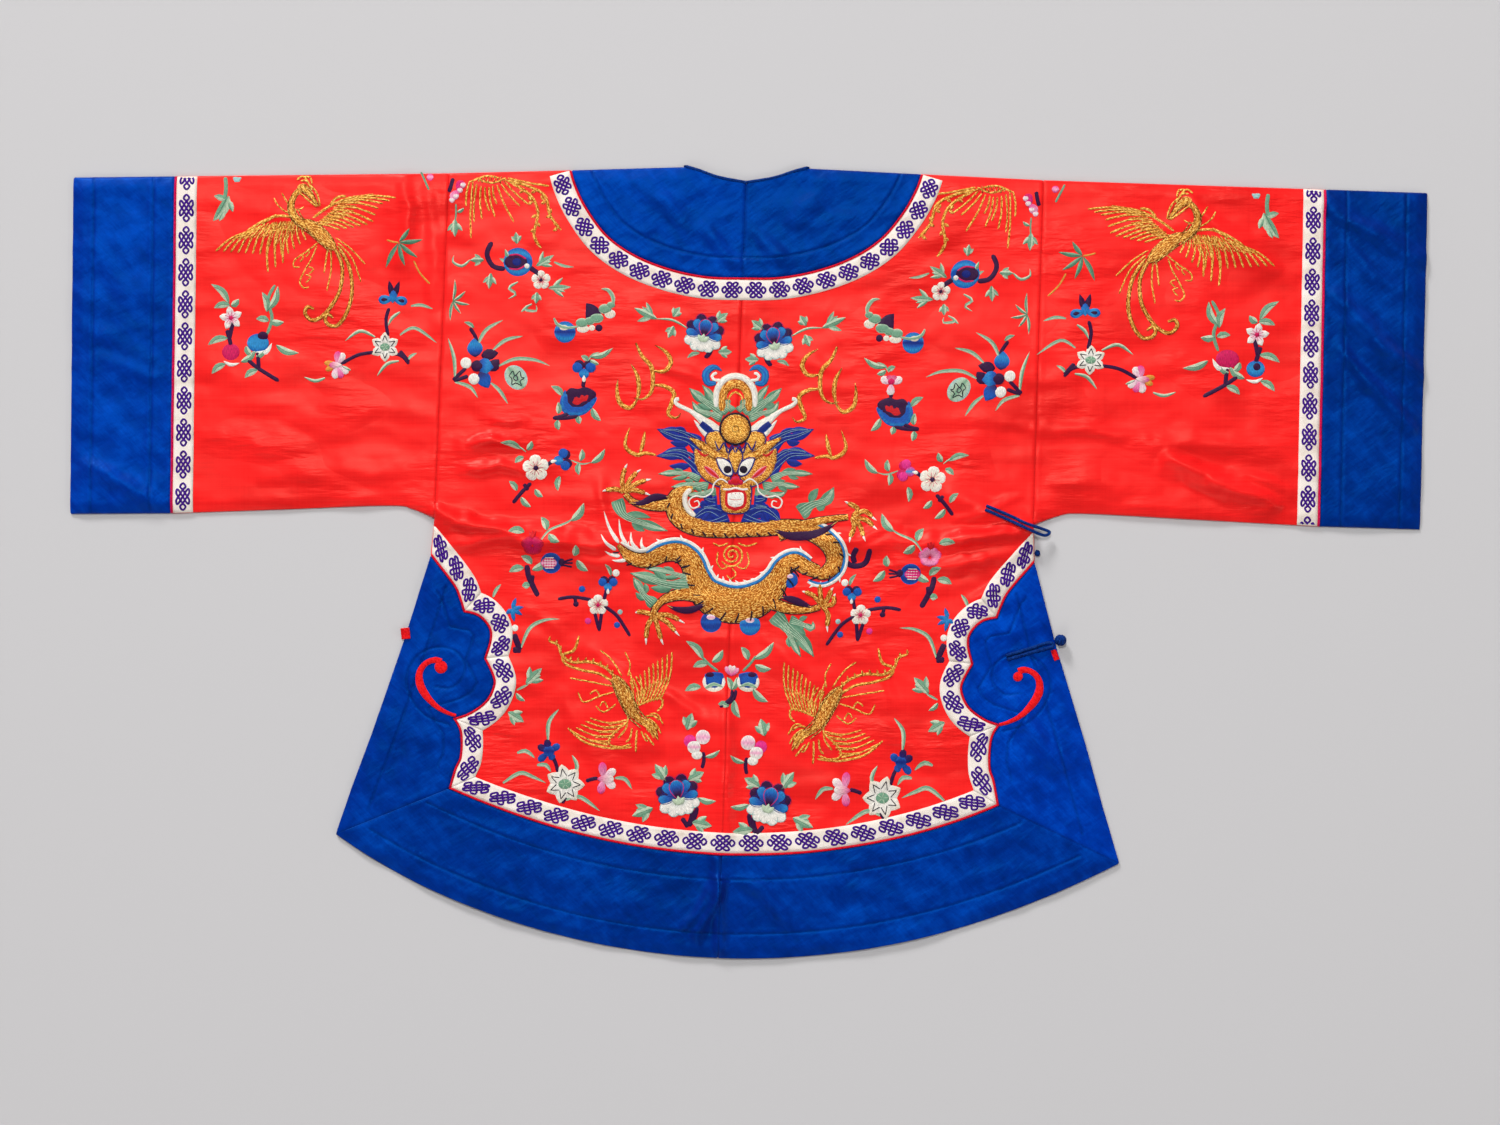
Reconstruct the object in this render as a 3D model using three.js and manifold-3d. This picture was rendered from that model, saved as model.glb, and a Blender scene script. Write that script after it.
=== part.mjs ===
// A silk T-cut jacket with embroidered back and wide borders, laid flat with its back up, in millimetres.
// +X is the wearer's right, +Y runs from the hem to the neck, and Z is the height above the floor.
import * as THREE from "three";
import { mergeVertices } from "three/addons/utils/BufferGeometryUtils.js";
import Module from "manifold-3d";

const wasm = await Module();
wasm.setup();

// Cloth and how it lies
const wall = 1.2;
const gap = 0.3;
const restHeight = 4.8; // top of the back above the floor, where no fold lifts it
const flapShort = 5; // the hidden half of the front ends this far inside the outline
const ribbonWidth = 21.5; // from the blue edge to the ribbon's far edge
const ribbonThickness = 0.8;
const pipingWidth = 2.1;
const pipingHeight = 1.1;
const bindingWidth = 2.4;
const cordDiameter = 3;
const cordSides = 8;
const foldReach = 1.9; // a fold dies out this many widths from its ridge
const facetLength = 2.4; // how much longer than wide the facets along a fold are
const patchRim = 2; // flat rim round the facets of a fold
const floorReach = { x: 690, y: 420 };

// The pattern, for one half: the other is its mirror image
const neckPoint = [57.5, 379.2];
const neckDip = [0, 364.6];
const yokeCorner = [61, 377.2];
const frontNeckDip = [0, 292];
const yokeAtFold = [167, 373];
const yokeLow = [0, 272.2];
const frontYokeLow = [0, 205];
const sleeveSeamTop = [284, 368.7];
const cuffSeamTop = [550, 362.8];
const cuffTop = [647, 360.6];
const cuffBottom = [645, 39];
const cuffSeamBottom = [549, 40.7];
const sleeveLow = [332, 50.5];
const underarm = [286, 38.6];
const borderTop = [288.5, 3.2];
const ventTop = [311.8, -78];
const hemCorner = [374.4, -273.5];
const hemBandCorner = [262.8, -224];
const hemLow = -378;
const hemRadius = 723;
const hemBandLow = -279.5;
const hemBandRadius = 650;

// How the jacket was laid: turned a little, with the skirt drawn to its left
const lay = {
  shiftX: 1.6,
  shiftY: -0.75,
  leanFrom: 363,
  bodyLeft: 4.3,
  sleeveLean: 0.016,
  bodyLean: 0.02,
  bodyReach: 270,
  sleeveReach: 550,
  turn: 0.0115,
  skirtTurn: 0.026,
  skirtFrom: -150,
  skirtTo: -260,
};

// The largest folds, as ridges from one end to the other on the laid jacket
const folds = [
  { name: "left underarm, long", x1: -292, y1: 37, x2: -172, y2: 17, width: 10, height: 4.2 },
  { name: "left underarm, its tail", x1: -190, y1: 19, x2: -80, y2: 11, width: 9, height: 2.4 },
  { name: "left side, upper", x1: -274, y1: 113, x2: -214, y2: 111, width: 9, height: 2.6 },
  { name: "left side, lower", x1: -270, y1: 89, x2: -206, y2: 87, width: 9, height: 1.8 },
  { name: "right underarm, long", x1: 272, y1: 22, x2: 150, y2: 15, width: 10, height: 3.8 },
  { name: "right underarm, its tail", x1: 175, y1: 16, x2: 70, y2: 20, width: 9, height: 2.2 },
  { name: "right underarm, rising", x1: 268, y1: 36, x2: 190, y2: 62, width: 10, height: 2.2 },
  { name: "right sleeve, corner", x1: 398, y1: 94, x2: 494, y2: 50, width: 11, height: 4 },
  { name: "right sleeve, upper", x1: 412, y1: 348, x2: 490, y2: 282, width: 16, height: 1.8 },
  { name: "left sleeve, upper", x1: -330, y1: 366, x2: -330, y2: 286, width: 16, height: 1.6 },
  { name: "right cuff, middle", x1: 563, y1: 251, x2: 640, y2: 174, width: 16, height: 1.8 },
  { name: "left cuff, corner", x1: -634, y1: 90, x2: -572, y2: 58, width: 14, height: 1.8 },
  { name: "skirt centre", x1: -29, y1: -130, x2: -23, y2: -372, width: 15, height: 1.8 },
  { name: "right border", x1: 252, y1: -128, x2: 298, y2: -200, width: 16, height: 1.8 },
];

const colours = {
  satin: 0xee2c28,
  blueSilk: 0x053f98,
  ribbon: 0xebe1d7,
  piping: 0xd3123a,
  binding: 0x123071,
  redCord: 0xd8202a,
};

const vectors = (points) => points.map(([x, y]) => new THREE.Vector2(x, y));
const smoothStep = (x) => x * x * (3 - 2 * x);
const clamp01 = (x) => Math.min(1, Math.max(0, x));
const isShare = (x) => x >= 0 && x <= 1;

// A point of the pattern on the laid jacket
function laid(p) {
  const across = (lay.sleeveReach - Math.abs(p.x)) / (lay.sleeveReach - lay.bodyReach);
  const body = smoothStep(clamp01(across));
  const skirt = smoothStep(clamp01((lay.skirtFrom - p.y) / (lay.skirtFrom - lay.skirtTo)));
  const lean = lay.sleeveLean + lay.bodyLean * body;
  return new THREE.Vector2(
    p.x - lay.bodyLeft * body - lean * (lay.leanFrom - p.y) + lay.shiftX,
    p.y - p.x * (lay.turn + lay.skirtTurn * skirt) + lay.shiftY,
  );
}

// Points of one half of the pattern, laid on the left or on the right
function onSide(points, side) {
  return points.map((p) => laid(new THREE.Vector2(side === "left" ? -p.x : p.x, p.y)));
}

const curveThrough = (points, steps) => new THREE.SplineCurve(vectors(points)).getPoints(steps);

// From the centre out to x: an arc that opens upwards, given by its lowest point and radius
function hemArc(low, radius, reach, steps) {
  const points = [];
  for (let i = 0; i <= steps; i++) {
    const x = (reach * i) / steps;
    points.push(new THREE.Vector2(x, low + radius - Math.sqrt(radius * radius - x * x)));
  }
  return points;
}

function crossing(a, b, c, d) {
  const r = b.clone().sub(a);
  const s = d.clone().sub(c);
  const across = r.cross(s);
  if (Math.abs(across) < 1e-9) return null;
  const q = c.clone().sub(a);
  const t = q.cross(s) / across;
  return { t, u: q.cross(r) / across, point: a.clone().addScaledVector(r, t) };
}

// A smooth stretch moved sideways, to the right of its direction where by is positive
function movedAside(stretch, by) {
  return stretch.map((p, i) => {
    const before = stretch[Math.max(0, i - 1)];
    const after = stretch[Math.min(stretch.length - 1, i + 1)];
    const along = after.clone().sub(before).normalize();
    return new THREE.Vector2(p.x + along.y * by, p.y - along.x * by);
  });
}

// Stretches that meet in corners, all moved aside, and cut where they then cross or run on until they meet
function movedStretches(stretches, by) {
  const moved = stretches.map((stretch) => movedAside(stretch, by));
  for (let k = 0; k + 1 < moved.length; k++) {
    const first = moved[k];
    const second = moved[k + 1];
    let met = null;
    for (let i = first.length - 2; i >= 0 && !met; i--) {
      for (let j = 0; j + 1 < second.length && !met; j++) {
        const hit = crossing(first[i], first[i + 1], second[j], second[j + 1]);
        if (hit && isShare(hit.t) && isShare(hit.u)) met = { i, j, point: hit.point };
      }
    }
    if (met) {
      first.splice(met.i + 1, first.length, met.point);
      second.splice(0, met.j + 1, met.point.clone());
    } else {
      const { point } = crossing(first.at(-2), first.at(-1), second[0], second[1]);
      first.push(point);
      second.unshift(point.clone());
    }
  }
  return moved;
}

// The cloth of a piece ends half a gap inside its seams
function insideSeams(outline, by = gap / 2) {
  const points = outline.filter((p, i) => p.distanceTo(outline.at(i - 1)) > 0.05);
  if (THREE.ShapeUtils.isClockWise(points)) points.reverse();
  return points.map((p, i) => {
    const into = p.clone().sub(points.at(i - 1)).normalize();
    const out = points[(i + 1) % points.length].clone().sub(p).normalize();
    const normal = new THREE.Vector2(-into.y - out.y, into.x + out.x);
    return p.clone().addScaledVector(normal, by / Math.max(0.25, 1 + into.dot(out)));
  });
}

// Height of the top of the back above the floor
function clothHeight(x, y) {
  let height = restHeight;
  for (const fold of folds) {
    const runX = fold.x2 - fold.x1;
    const runY = fold.y2 - fold.y1;
    const t = clamp01(((x - fold.x1) * runX + (y - fold.y1) * runY) / (runX * runX + runY * runY));
    const dx = x - fold.x1 - t * runX;
    const dy = y - fold.y1 - t * runY;
    const along = Math.sqrt(Math.sin(Math.PI * (0.08 + 0.84 * t)));
    const near = Math.max(0, 1 - (dx * dx + dy * dy) / (foldReach * fold.width) ** 2);
    height += fold.height * along * near ** 3;
  }
  return height;
}

function toSolid(geometry) {
  geometry.deleteAttribute("normal");
  geometry.deleteAttribute("uv");
  const merged = mergeVertices(geometry, 1e-4);
  const triVerts = new Uint32Array(merged.index.array);
  const vertProperties = merged.attributes.position.array;
  return new wasm.Manifold(new wasm.Mesh({ numProp: 3, vertProperties, triVerts }));
}

function toGeometry(solid) {
  const mesh = solid.getMesh();
  const geometry = new THREE.BufferGeometry();
  const positions = new Float32Array(mesh.vertProperties);
  geometry.setAttribute("position", new THREE.BufferAttribute(positions, 3));
  geometry.setIndex(new THREE.BufferAttribute(new Uint32Array(mesh.triVerts), 1));
  geometry.computeVertexNormals();
  return geometry;
}

function prism(outline, low = -10, high = 30) {
  const shape = new THREE.Shape(outline);
  const geometry = new THREE.ExtrudeGeometry(shape, { depth: high - low, bevelEnabled: false });
  return toSolid(geometry.translate(0, 0, low));
}

// The rectangles that the folds lie in, each with a grid of its own: the cloth between them is flat
function foldPatches() {
  let boxes = folds.map((fold) => {
    const reach = new THREE.Vector2(fold.width, fold.width).multiplyScalar(foldReach);
    const box = new THREE.Box2().setFromPoints(vectors([[fold.x1, fold.y1], [fold.x2, fold.y2]]));
    const size = box.getSize(new THREE.Vector2());
    const step = new THREE.Vector2(fold.width, fold.width);
    if (size.x > 2 * size.y) step.x *= facetLength;
    if (size.y > 2 * size.x) step.y *= facetLength;
    return { box: new THREE.Box2(box.min.sub(reach), box.max.add(reach)), step };
  });
  for (let merged = true; merged; ) {
    merged = false;
    const apart = [];
    for (const one of boxes) {
      const roomy = one.box.clone().expandByScalar(3 * patchRim);
      const other = apart.find((done) => done.box.intersectsBox(roomy));
      if (other) {
        other.box.union(one.box);
        other.step.min(one.step);
        merged = true;
      } else apart.push(one);
    }
    boxes = apart;
  }
  const lines = (from, to, step) => {
    const cells = Math.ceil((to - from) / step);
    return Array.from({ length: cells + 1 }, (_, i) => from + ((to - from) * i) / cells);
  };
  return boxes.map(({ box, step }) => ({
    columns: lines(box.min.x, box.max.x, step.x),
    rows: lines(box.min.y, box.max.y, step.y),
  }));
}

// The faceted surface that every layer shares: its points and triangles seen from above
function clothFacets() {
  const rectangle = (x1, y1, x2, y2) => vectors([[x1, y1], [x2, y1], [x2, y2], [x1, y2]]);
  const points = rectangle(-floorReach.x, -floorReach.y, floorReach.x, floorReach.y);
  const rings = [[0, 1, 2, 3]];
  const triangles = [];
  for (const { columns, rows } of foldPatches()) {
    const first = points.length;
    const across = columns.length;
    const at = (i, j) => first + j * across + i;
    for (const y of rows) points.push(...columns.map((x) => new THREE.Vector2(x, y)));
    for (let j = 0; j + 1 < rows.length; j++) {
      for (let i = 0; i + 1 < across; i++) {
        triangles.push([at(i, j), at(i + 1, j), at(i + 1, j + 1)]);
        triangles.push([at(i, j), at(i + 1, j + 1), at(i, j + 1)]);
      }
    }
    const corner = points.length;
    const low = [columns[0] - patchRim, rows[0] - patchRim];
    points.push(...rectangle(...low, columns.at(-1) + patchRim, rows.at(-1) + patchRim));
    const sides = [
      columns.map((_, i) => at(i, 0)),
      rows.map((_, j) => at(across - 1, j)),
      columns.map((_, i) => at(across - 1 - i, rows.length - 1)),
      rows.map((_, j) => at(0, rows.length - 1 - j)),
    ];
    sides.forEach((side, k) => {
      for (let i = 0; i + 1 < side.length; i++) triangles.push([corner + k, side[i + 1], side[i]]);
      triangles.push([corner + k, corner + ((k + 1) % 4), side.at(-1)]);
    });
    rings.push([corner + 3, corner + 2, corner + 1, corner]);
  }
  const ringPoints = rings.map((ring) => ring.map((i) => points[i]));
  const numbered = rings.flat();
  for (const face of THREE.ShapeUtils.triangulateShape(ringPoints[0], ringPoints.slice(1))) {
    triangles.push(face.map((i) => numbered[i]));
  }
  return { points, triangles };
}
const facets = clothFacets();

// The solid between two heights over the whole floor
const layers = new Map();
function layer(lower, upper) {
  const key = `${lower} ${upper}`;
  if (layers.has(key)) return layers.get(key);
  const count = facets.points.length;
  const positions = [lower, upper].flatMap((shift) => {
    return facets.points.flatMap((p) => [p.x, p.y, shift === "floor" ? 0 : clothHeight(p.x, p.y) + shift]);
  });
  const index = facets.triangles.flatMap(([a, b, c]) => [count + a, count + b, count + c, a, c, b]);
  for (let i = 0; i < 4; i++) {
    const j = (i + 1) % 4;
    index.push(i, j, count + j, i, count + j, count + i);
  }
  const geometry = new THREE.BufferGeometry();
  geometry.setAttribute("position", new THREE.BufferAttribute(new Float32Array(positions), 3));
  geometry.setIndex(index);
  const solid = toSolid(geometry);
  layers.set(key, solid);
  return solid;
}

// Walls of the back, of the front on the floor, and what lies on the back
const backWall = (outline) => prism(insideSeams(outline)).intersect(layer(-wall, 0));
const frontWall = (outline) => prism(insideSeams(outline), 0, wall);
const onBack = (outline, thickness) => prism(outline).intersect(layer(gap, gap + thickness));

// The cloth along one edge of a piece, from the back's height down to a lower one
function edgeWall(outline, edge, inward, lowest) {
  const inner = edge.map((p) => p.clone().add(inward));
  const outer = edge.map((p) => p.clone().sub(inward));
  const strip = prism([...outer, ...inner.reverse()], lowest, 30);
  return prism(insideSeams(outline)).intersect(strip).intersect(layer("floor", 0));
}

// A flattened tube, closed along its top and bottom edges and open at both ends
function flatTube(topEdge, bottomEdge) {
  const outline = [...bottomEdge, ...topEdge.slice().reverse()];
  const past = new THREE.Vector2(topEdge.at(-1).x > topEdge[0].x ? 9 : -9, 0);
  const lowered = topEdge.map((p) => new THREE.Vector2(p.x, p.y - wall));
  const raised = bottomEdge.map((p) => new THREE.Vector2(p.x, p.y + wall));
  const inside = [
    raised[0].clone().sub(past),
    ...raised,
    raised.at(-1).clone().add(past),
    lowered.at(-1).clone().add(past),
    ...lowered.reverse(),
    lowered.at(-1).clone().sub(past),
  ];
  const room = prism(inside, wall, 30).intersect(layer("floor", -wall));
  return prism(insideSeams(outline)).intersect(layer("floor", 0)).subtract(room);
}

const jacket = new THREE.Group();
const finishes = {
  satin: new THREE.MeshStandardMaterial({ color: colours.satin, roughness: 0.38, metalness: 0 }),
  blueSilk: new THREE.MeshStandardMaterial({ color: colours.blueSilk, roughness: 0.5, metalness: 0 }),
  ribbon: new THREE.MeshStandardMaterial({ color: colours.ribbon, roughness: 0.7, metalness: 0 }),
  piping: new THREE.MeshStandardMaterial({ color: colours.piping, roughness: 0.5, metalness: 0 }),
  binding: new THREE.MeshStandardMaterial({ color: colours.binding, roughness: 0.5, metalness: 0 }),
  redCord: new THREE.MeshStandardMaterial({ color: colours.redCord, roughness: 0.6, metalness: 0 }),
};

function sew(name, solid, finish) {
  const mesh = new THREE.Mesh(toGeometry(solid), finishes[finish].clone());
  mesh.name = name;
  jacket.add(mesh);
}

// Seam lines of one half
const backNeck = curveThrough([neckDip, [26, 369.2], [44, 375.2], neckPoint], 6);
const frontNeck = curveThrough([frontNeckDip, [30, 299], [52, 325], neckPoint], 8);
const yokeEdge = curveThrough(
  [yokeLow, [34, 273], [70, 280], [104, 293], [131, 311.5], [151, 337], [162, 358], yokeAtFold],
  18,
);
const frontYokeEdge = curveThrough([frontYokeLow, [60, 214], [112, 245], [150, 300], yokeAtFold], 12);
const lapelEdge = curveThrough([frontYokeLow, [60, 176], [130, 112], [210, 64], underarm], 14);
const sleeveBottom = curveThrough([underarm, [308, 47.4], sleeveLow, [440, 45.6], cuffSeamBottom], 14);
const borderStretches = [
  curveThrough([borderTop, [266, -24.5], [259.4, -37.8], [255, -50.4]], 7),
  curveThrough([[255, -50.4], [241, -54], [230.5, -65], [229, -77], [233.7, -94.3]], 9),
  curveThrough(
    [[233.7, -94.3], [225.6, -110], [224, -120], [231, -135], [246.5, -146.5], [261.4, -151.7]],
    11,
  ),
  curveThrough([[261.4, -151.7], [254.2, -165.5], [253.5, -190], [258, -203], hemBandCorner], 9),
  hemArc(hemBandLow, hemBandRadius, hemBandCorner[0], 12).reverse(),
];
const border = borderStretches.slice(0, 4).flatMap((stretch, i) => (i ? stretch.slice(1) : stretch));
const hemBandEdge = borderStretches[4];
const outerHem = hemArc(hemLow, hemRadius, hemCorner[0], 14);
const mitre = vectors([hemBandCorner, hemCorner]);
const sideEdge = vectors([borderTop, ventTop, [341.5, -170], [360, -228], hemCorner]);
const shoulder = vectors([yokeAtFold, sleeveSeamTop]);
const neckShoulder = vectors([neckPoint, yokeAtFold]);
const sleeveSeam = vectors([sleeveSeamTop, underarm]);

const down = new THREE.Vector2(0, -wall);
const pointsOf = (...lines) => lines.flat();
const turned = (line) => line.slice().reverse();

// The red body: a length for each half, over the shoulder, the overlapping front and the half under it
for (const side of ["left", "right"]) {
  const skirt = pointsOf(vectors([underarm]), border, hemBandEdge);
  const back = onSide(pointsOf(shoulder, skirt, yokeEdge), side);
  const fold = edgeWall(back, onSide(shoulder, side), down, 0);
  let body = backWall(back).add(fold);
  if (side === "left") {
    const front = onSide(pointsOf(shoulder, skirt, frontYokeEdge), side);
    const sideSeam = onSide(vectors([underarm, borderTop]), side);
    const seamWall = edgeWall(back, sideSeam, new THREE.Vector2(wall, 0), 0);
    body = body.add(frontWall(front)).add(seamWall);
  } else {
    // This front ends at the edge of the overlapping one, and its lower half runs on between the layers
    const upperFront = onSide(pointsOf(shoulder, turned(lapelEdge), frontYokeEdge), side);
    body = body.add(frontWall(upperFront));
    const sewnOn = lapelEdge.slice(0, -1).map((p) => new THREE.Vector2(p.x, p.y + 2 * wall));
    const flapSide = sideEdge.map((p) => new THREE.Vector2(p.x - flapShort, p.y));
    flapSide.at(-1).y += flapShort;
    const flapHem = turned(hemArc(hemLow + flapShort, hemRadius, hemCorner[0] - 2 * flapShort, 8));
    const flap = insideSeams(onSide(pointsOf(sewnOn, flapSide, flapHem), side));
    sew("underlap", prism(flap, wall + gap, 2 * wall + gap), "satin");
    const lapel = onSide(pointsOf(lapelEdge, border, hemBandEdge), side);
    sew("front_lapel", frontWall(lapel), "satin");
  }
  sew(`body_${side}`, body, "satin");
}

// The sleeves and cuffs
for (const side of ["left", "right"]) {
  const sleeveTop = onSide(vectors([sleeveSeamTop, cuffSeamTop]), side);
  sew(`sleeve_${side}`, flatTube(sleeveTop, onSide(sleeveBottom, side)), "satin");
  const cuffUpper = onSide(vectors([cuffSeamTop, cuffTop]), side);
  const cuffLower = onSide(vectors([cuffSeamBottom, cuffBottom]), side);
  sew(`cuff_${side}`, flatTube(cuffUpper, cuffLower), "blueSilk");
}

// The blue borders of the neck, sides and hem, on the back and on the front
const boundEdge = (line) => [...movedAside(line, bindingWidth).slice(0, -1), ...vectors([yokeCorner])];
for (const side of ["left", "right"]) {
  const backYoke = onSide(pointsOf(boundEdge(backNeck), turned(yokeEdge)), side);
  const frontYoke = onSide(pointsOf(boundEdge(frontNeck), turned(frontYokeEdge)), side);
  const yokeFold = edgeWall(backYoke, onSide(vectors([yokeCorner, yokeAtFold]), side), down, 0);
  sew(`yoke_${side}`, backWall(backYoke).add(yokeFold).add(frontWall(frontYoke)), "blueSilk");

  const sideOutline = onSide(pointsOf(sideEdge, turned(border)), side);
  const hemOutline = onSide(pointsOf(mitre, turned(outerHem), turned(hemBandEdge)), side);
  let sideBorder = backWall(sideOutline);
  if (side === "left") {
    const seam = onSide(vectors([borderTop, ventTop]), side);
    sideBorder = sideBorder.add(edgeWall(sideOutline, seam, new THREE.Vector2(wall, 0), wall + gap));
  }
  sew(`side_${side}`, sideBorder, "blueSilk");
  sew(`hem_${side}`, backWall(hemOutline), "blueSilk");
  sew(`front_side_${side}`, frontWall(sideOutline), "blueSilk");
  sew(`front_hem_${side}`, frontWall(hemOutline), "blueSilk");
}

// The rolled binding of the neckline, round the back and the front
const mirrored = (line) => line.map((p) => new THREE.Vector2(-p.x, p.y));
const wholeLine = (half) => [...turned(mirrored(half)), ...half.slice(1)];
const bothHalves = (line) => line.map((p) => laid(p));
const stripBeside = (line, near, far) => [...movedAside(line, near), ...turned(movedAside(line, far))];
const bindingInside = bindingWidth - gap;
const backBinding = prism(bothHalves(stripBeside(wholeLine(backNeck), 0, bindingInside)));
const frontBinding = prism(bothHalves(stripBeside(wholeLine(frontNeck), 0, bindingInside)), 0, wall + gap);
let binding = backBinding.intersect(layer(-wall - gap, gap)).add(frontBinding);
for (const side of ["left", "right"]) {
  const innerEnds = [frontNeck, backNeck].map((line) => movedAside(line, bindingInside).at(-1));
  const join = prism(onSide([backNeck.at(-1), ...innerEnds], side));
  binding = binding.add(join.intersect(layer("floor", 0)));
}
sew("neck_binding", binding, "binding");

// The white ribbon and the red piping beside it, on the red cloth along its seams with the blue
const strips = [
  { name: "piping", near: 0, far: pipingWidth, thickness: pipingHeight, finish: "piping" },
  { name: "ribbon", near: pipingWidth, far: ribbonWidth, thickness: ribbonThickness, finish: "ribbon" },
];
const pastFold = new THREE.Vector2(170, 390);
const pastSide = new THREE.Vector2(311, 28);
const neckSeam = wholeLine([...yokeEdge, pastFold]);
const belowShoulders = bothHalves(wholeLine(vectors([[0, 100], [284, 100], sleeveSeamTop, yokeAtFold])));
for (const strip of strips) {
  const neckStrip = insideSeams(bothHalves(stripBeside(neckSeam, strip.near, strip.far)));
  const shoulders = prism(insideSeams(belowShoulders));
  sew(`neck_${strip.name}`, onBack(neckStrip, strip.thickness).intersect(shoulders), strip.finish);

  const stretches = [[pastSide, ...borderStretches[0]], ...borderStretches.slice(1)];
  const near = movedStretches(stretches, strip.near);
  const far = movedStretches(stretches, strip.far);
  near[4].at(-1).x = 0;
  far[4].at(-1).x = 0;
  const sideStrip = [...near.slice(0, 4).flat(), ...turned(far.slice(0, 4).flat())];
  const hemStrip = [...near[4], ...turned(mirrored(near[4])), ...mirrored(far[4]), ...turned(far[4])];
  sew(`hem_${strip.name}`, onBack(insideSeams(bothHalves(hemStrip)), strip.thickness), strip.finish);
  for (const side of ["left", "right"]) {
    const cloth = onSide(pointsOf(shoulder, vectors([underarm]), border, hemBandEdge, yokeEdge), side);
    const onCloth = onBack(insideSeams(onSide(sideStrip, side)), strip.thickness);
    sew(`side_${strip.name}_${side}`, onCloth.intersect(prism(insideSeams(cloth))), strip.finish);

    const sleeve = onSide(pointsOf(sleeveBottom, vectors([cuffSeamTop, sleeveSeamTop])), side);
    const cuffSeam = vectors([[550.1, 390], cuffSeamTop, cuffSeamBottom, [548.9, 10]]);
    const cuffStrip = insideSeams(onSide(stripBeside(cuffSeam, strip.near, strip.far), side));
    const onSleeve = onBack(cuffStrip, strip.thickness).intersect(prism(insideSeams(sleeve)));
    sew(`cuff_${strip.name}_${side}`, onSleeve, strip.finish);
  }
}

// The red cord curls on the side borders, thickest half way and ending in a dot
const curl = {
  path: [[262, -148], [276, -142.5], [289, -129], [295, -114], [290, -102.5], [279, -98.5], [270.5, -102]],
  steps: 18,
  thin: 3,
  thick: 6.4,
  thickness: 1.6,
  dot: [272.5, -107],
  dotRadius: 4.2,
  dotSides: 14,
};
for (const side of ["left", "right"]) {
  const line = curveThrough(curl.path, curl.steps);
  const halfWidth = (i) => (curl.thin + (curl.thick - curl.thin) * Math.sin((Math.PI * i) / curl.steps)) / 2;
  const one = movedAside(line, 1).map((p, i) => line[i].clone().lerp(p, halfWidth(i)));
  const other = movedAside(line, -1).map((p, i) => line[i].clone().lerp(p, halfWidth(i)));
  const dot = new THREE.Shape().absarc(...curl.dot, curl.dotRadius, 0, 2 * Math.PI).getPoints(curl.dotSides);
  const flat = prism(onSide([...one, ...turned(other)], side)).add(prism(onSide(dot, side)));
  sew(`curl_${side}`, flat.intersect(layer(gap, gap + curl.thickness)), "redCord");
}

// The red thread bars at the tops of the side vents
const bartacks = [
  { side: "left", x: -328, y: -68.1, width: 8.4, length: 10.4, turn: 0.1 },
  { side: "right", x: 292.6, y: -88.7, width: 5, length: 10, turn: 0.35 },
];
for (const bar of bartacks) {
  const corners = vectors([[-1, -1], [1, -1], [1, 1], [-1, 1]]).map((p) => {
    const corner = new THREE.Vector2((p.x * bar.width) / 2, (p.y * bar.length) / 2);
    return corner.rotateAround(new THREE.Vector2(), bar.turn).add(new THREE.Vector2(bar.x, bar.y));
  });
  sew(`bartack_${bar.side}`, onBack(corners, pipingHeight), "redCord");
}

// The doubled cord loops, given by x, y and how far each point is lifted off the cloth, and the ball knots
const onCloth = restHeight + gap + cordDiameter / 2;
const loops = [
  {
    name: "loop_top",
    points: [
      [226.6, 53.4, 0], [250, 43.4, 1.6], [264.5, 36.4, 3], [279, 31.6, 1], [287, 28.2, 0.4],
      [281, 25.2, 0.6], [263.6, 32.2, 3], [248.8, 39.4, 1.6], [225.4, 49.6, 0],
    ],
  },
  {
    name: "loop_side",
    points: [
      [245.4, -89.6, 0], [268, -82.9, 0], [284.5, -77.6, 0.2], [290.6, -78.9, 0.5],
      [286, -82.2, 0.2], [269.2, -86.7, 0], [246.6, -93.4, 0],
    ],
  },
];
for (const loop of loops) {
  const path = new THREE.CatmullRomCurve3(loop.points.map(([x, y, lift]) => {
    return new THREE.Vector3(x, y, onCloth + lift + Math.max(0, clothHeight(x, y) - restHeight));
  }));
  const section = new THREE.Shape().absarc(0, 0, cordDiameter / 2, 0, 2 * Math.PI);
  const round = new THREE.Shape(section.getPoints(cordSides / 4));
  const geometry = new THREE.ExtrudeGeometry(round, { steps: 28, bevelEnabled: false, extrudePath: path });
  sew(loop.name, toSolid(geometry), "binding");
}
const buttons = [
  { name: "button_side", x: 297.6, y: -75, z: 6.4, radii: [5.5, 5.5, 5.5] },
  { name: "button_top", x: 275.8, y: 8.1, z: 3.2, radii: [2.4, 3.2, 3] },
];
for (const button of buttons) {
  const ball = new THREE.IcosahedronGeometry(1, 2).scale(...button.radii);
  sew(button.name, toSolid(ball.translate(button.x, button.y, button.z)), "binding");
}

export default jacket;
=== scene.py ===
import math

import bpy
import numpy as np
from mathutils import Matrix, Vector, geometry


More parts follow.
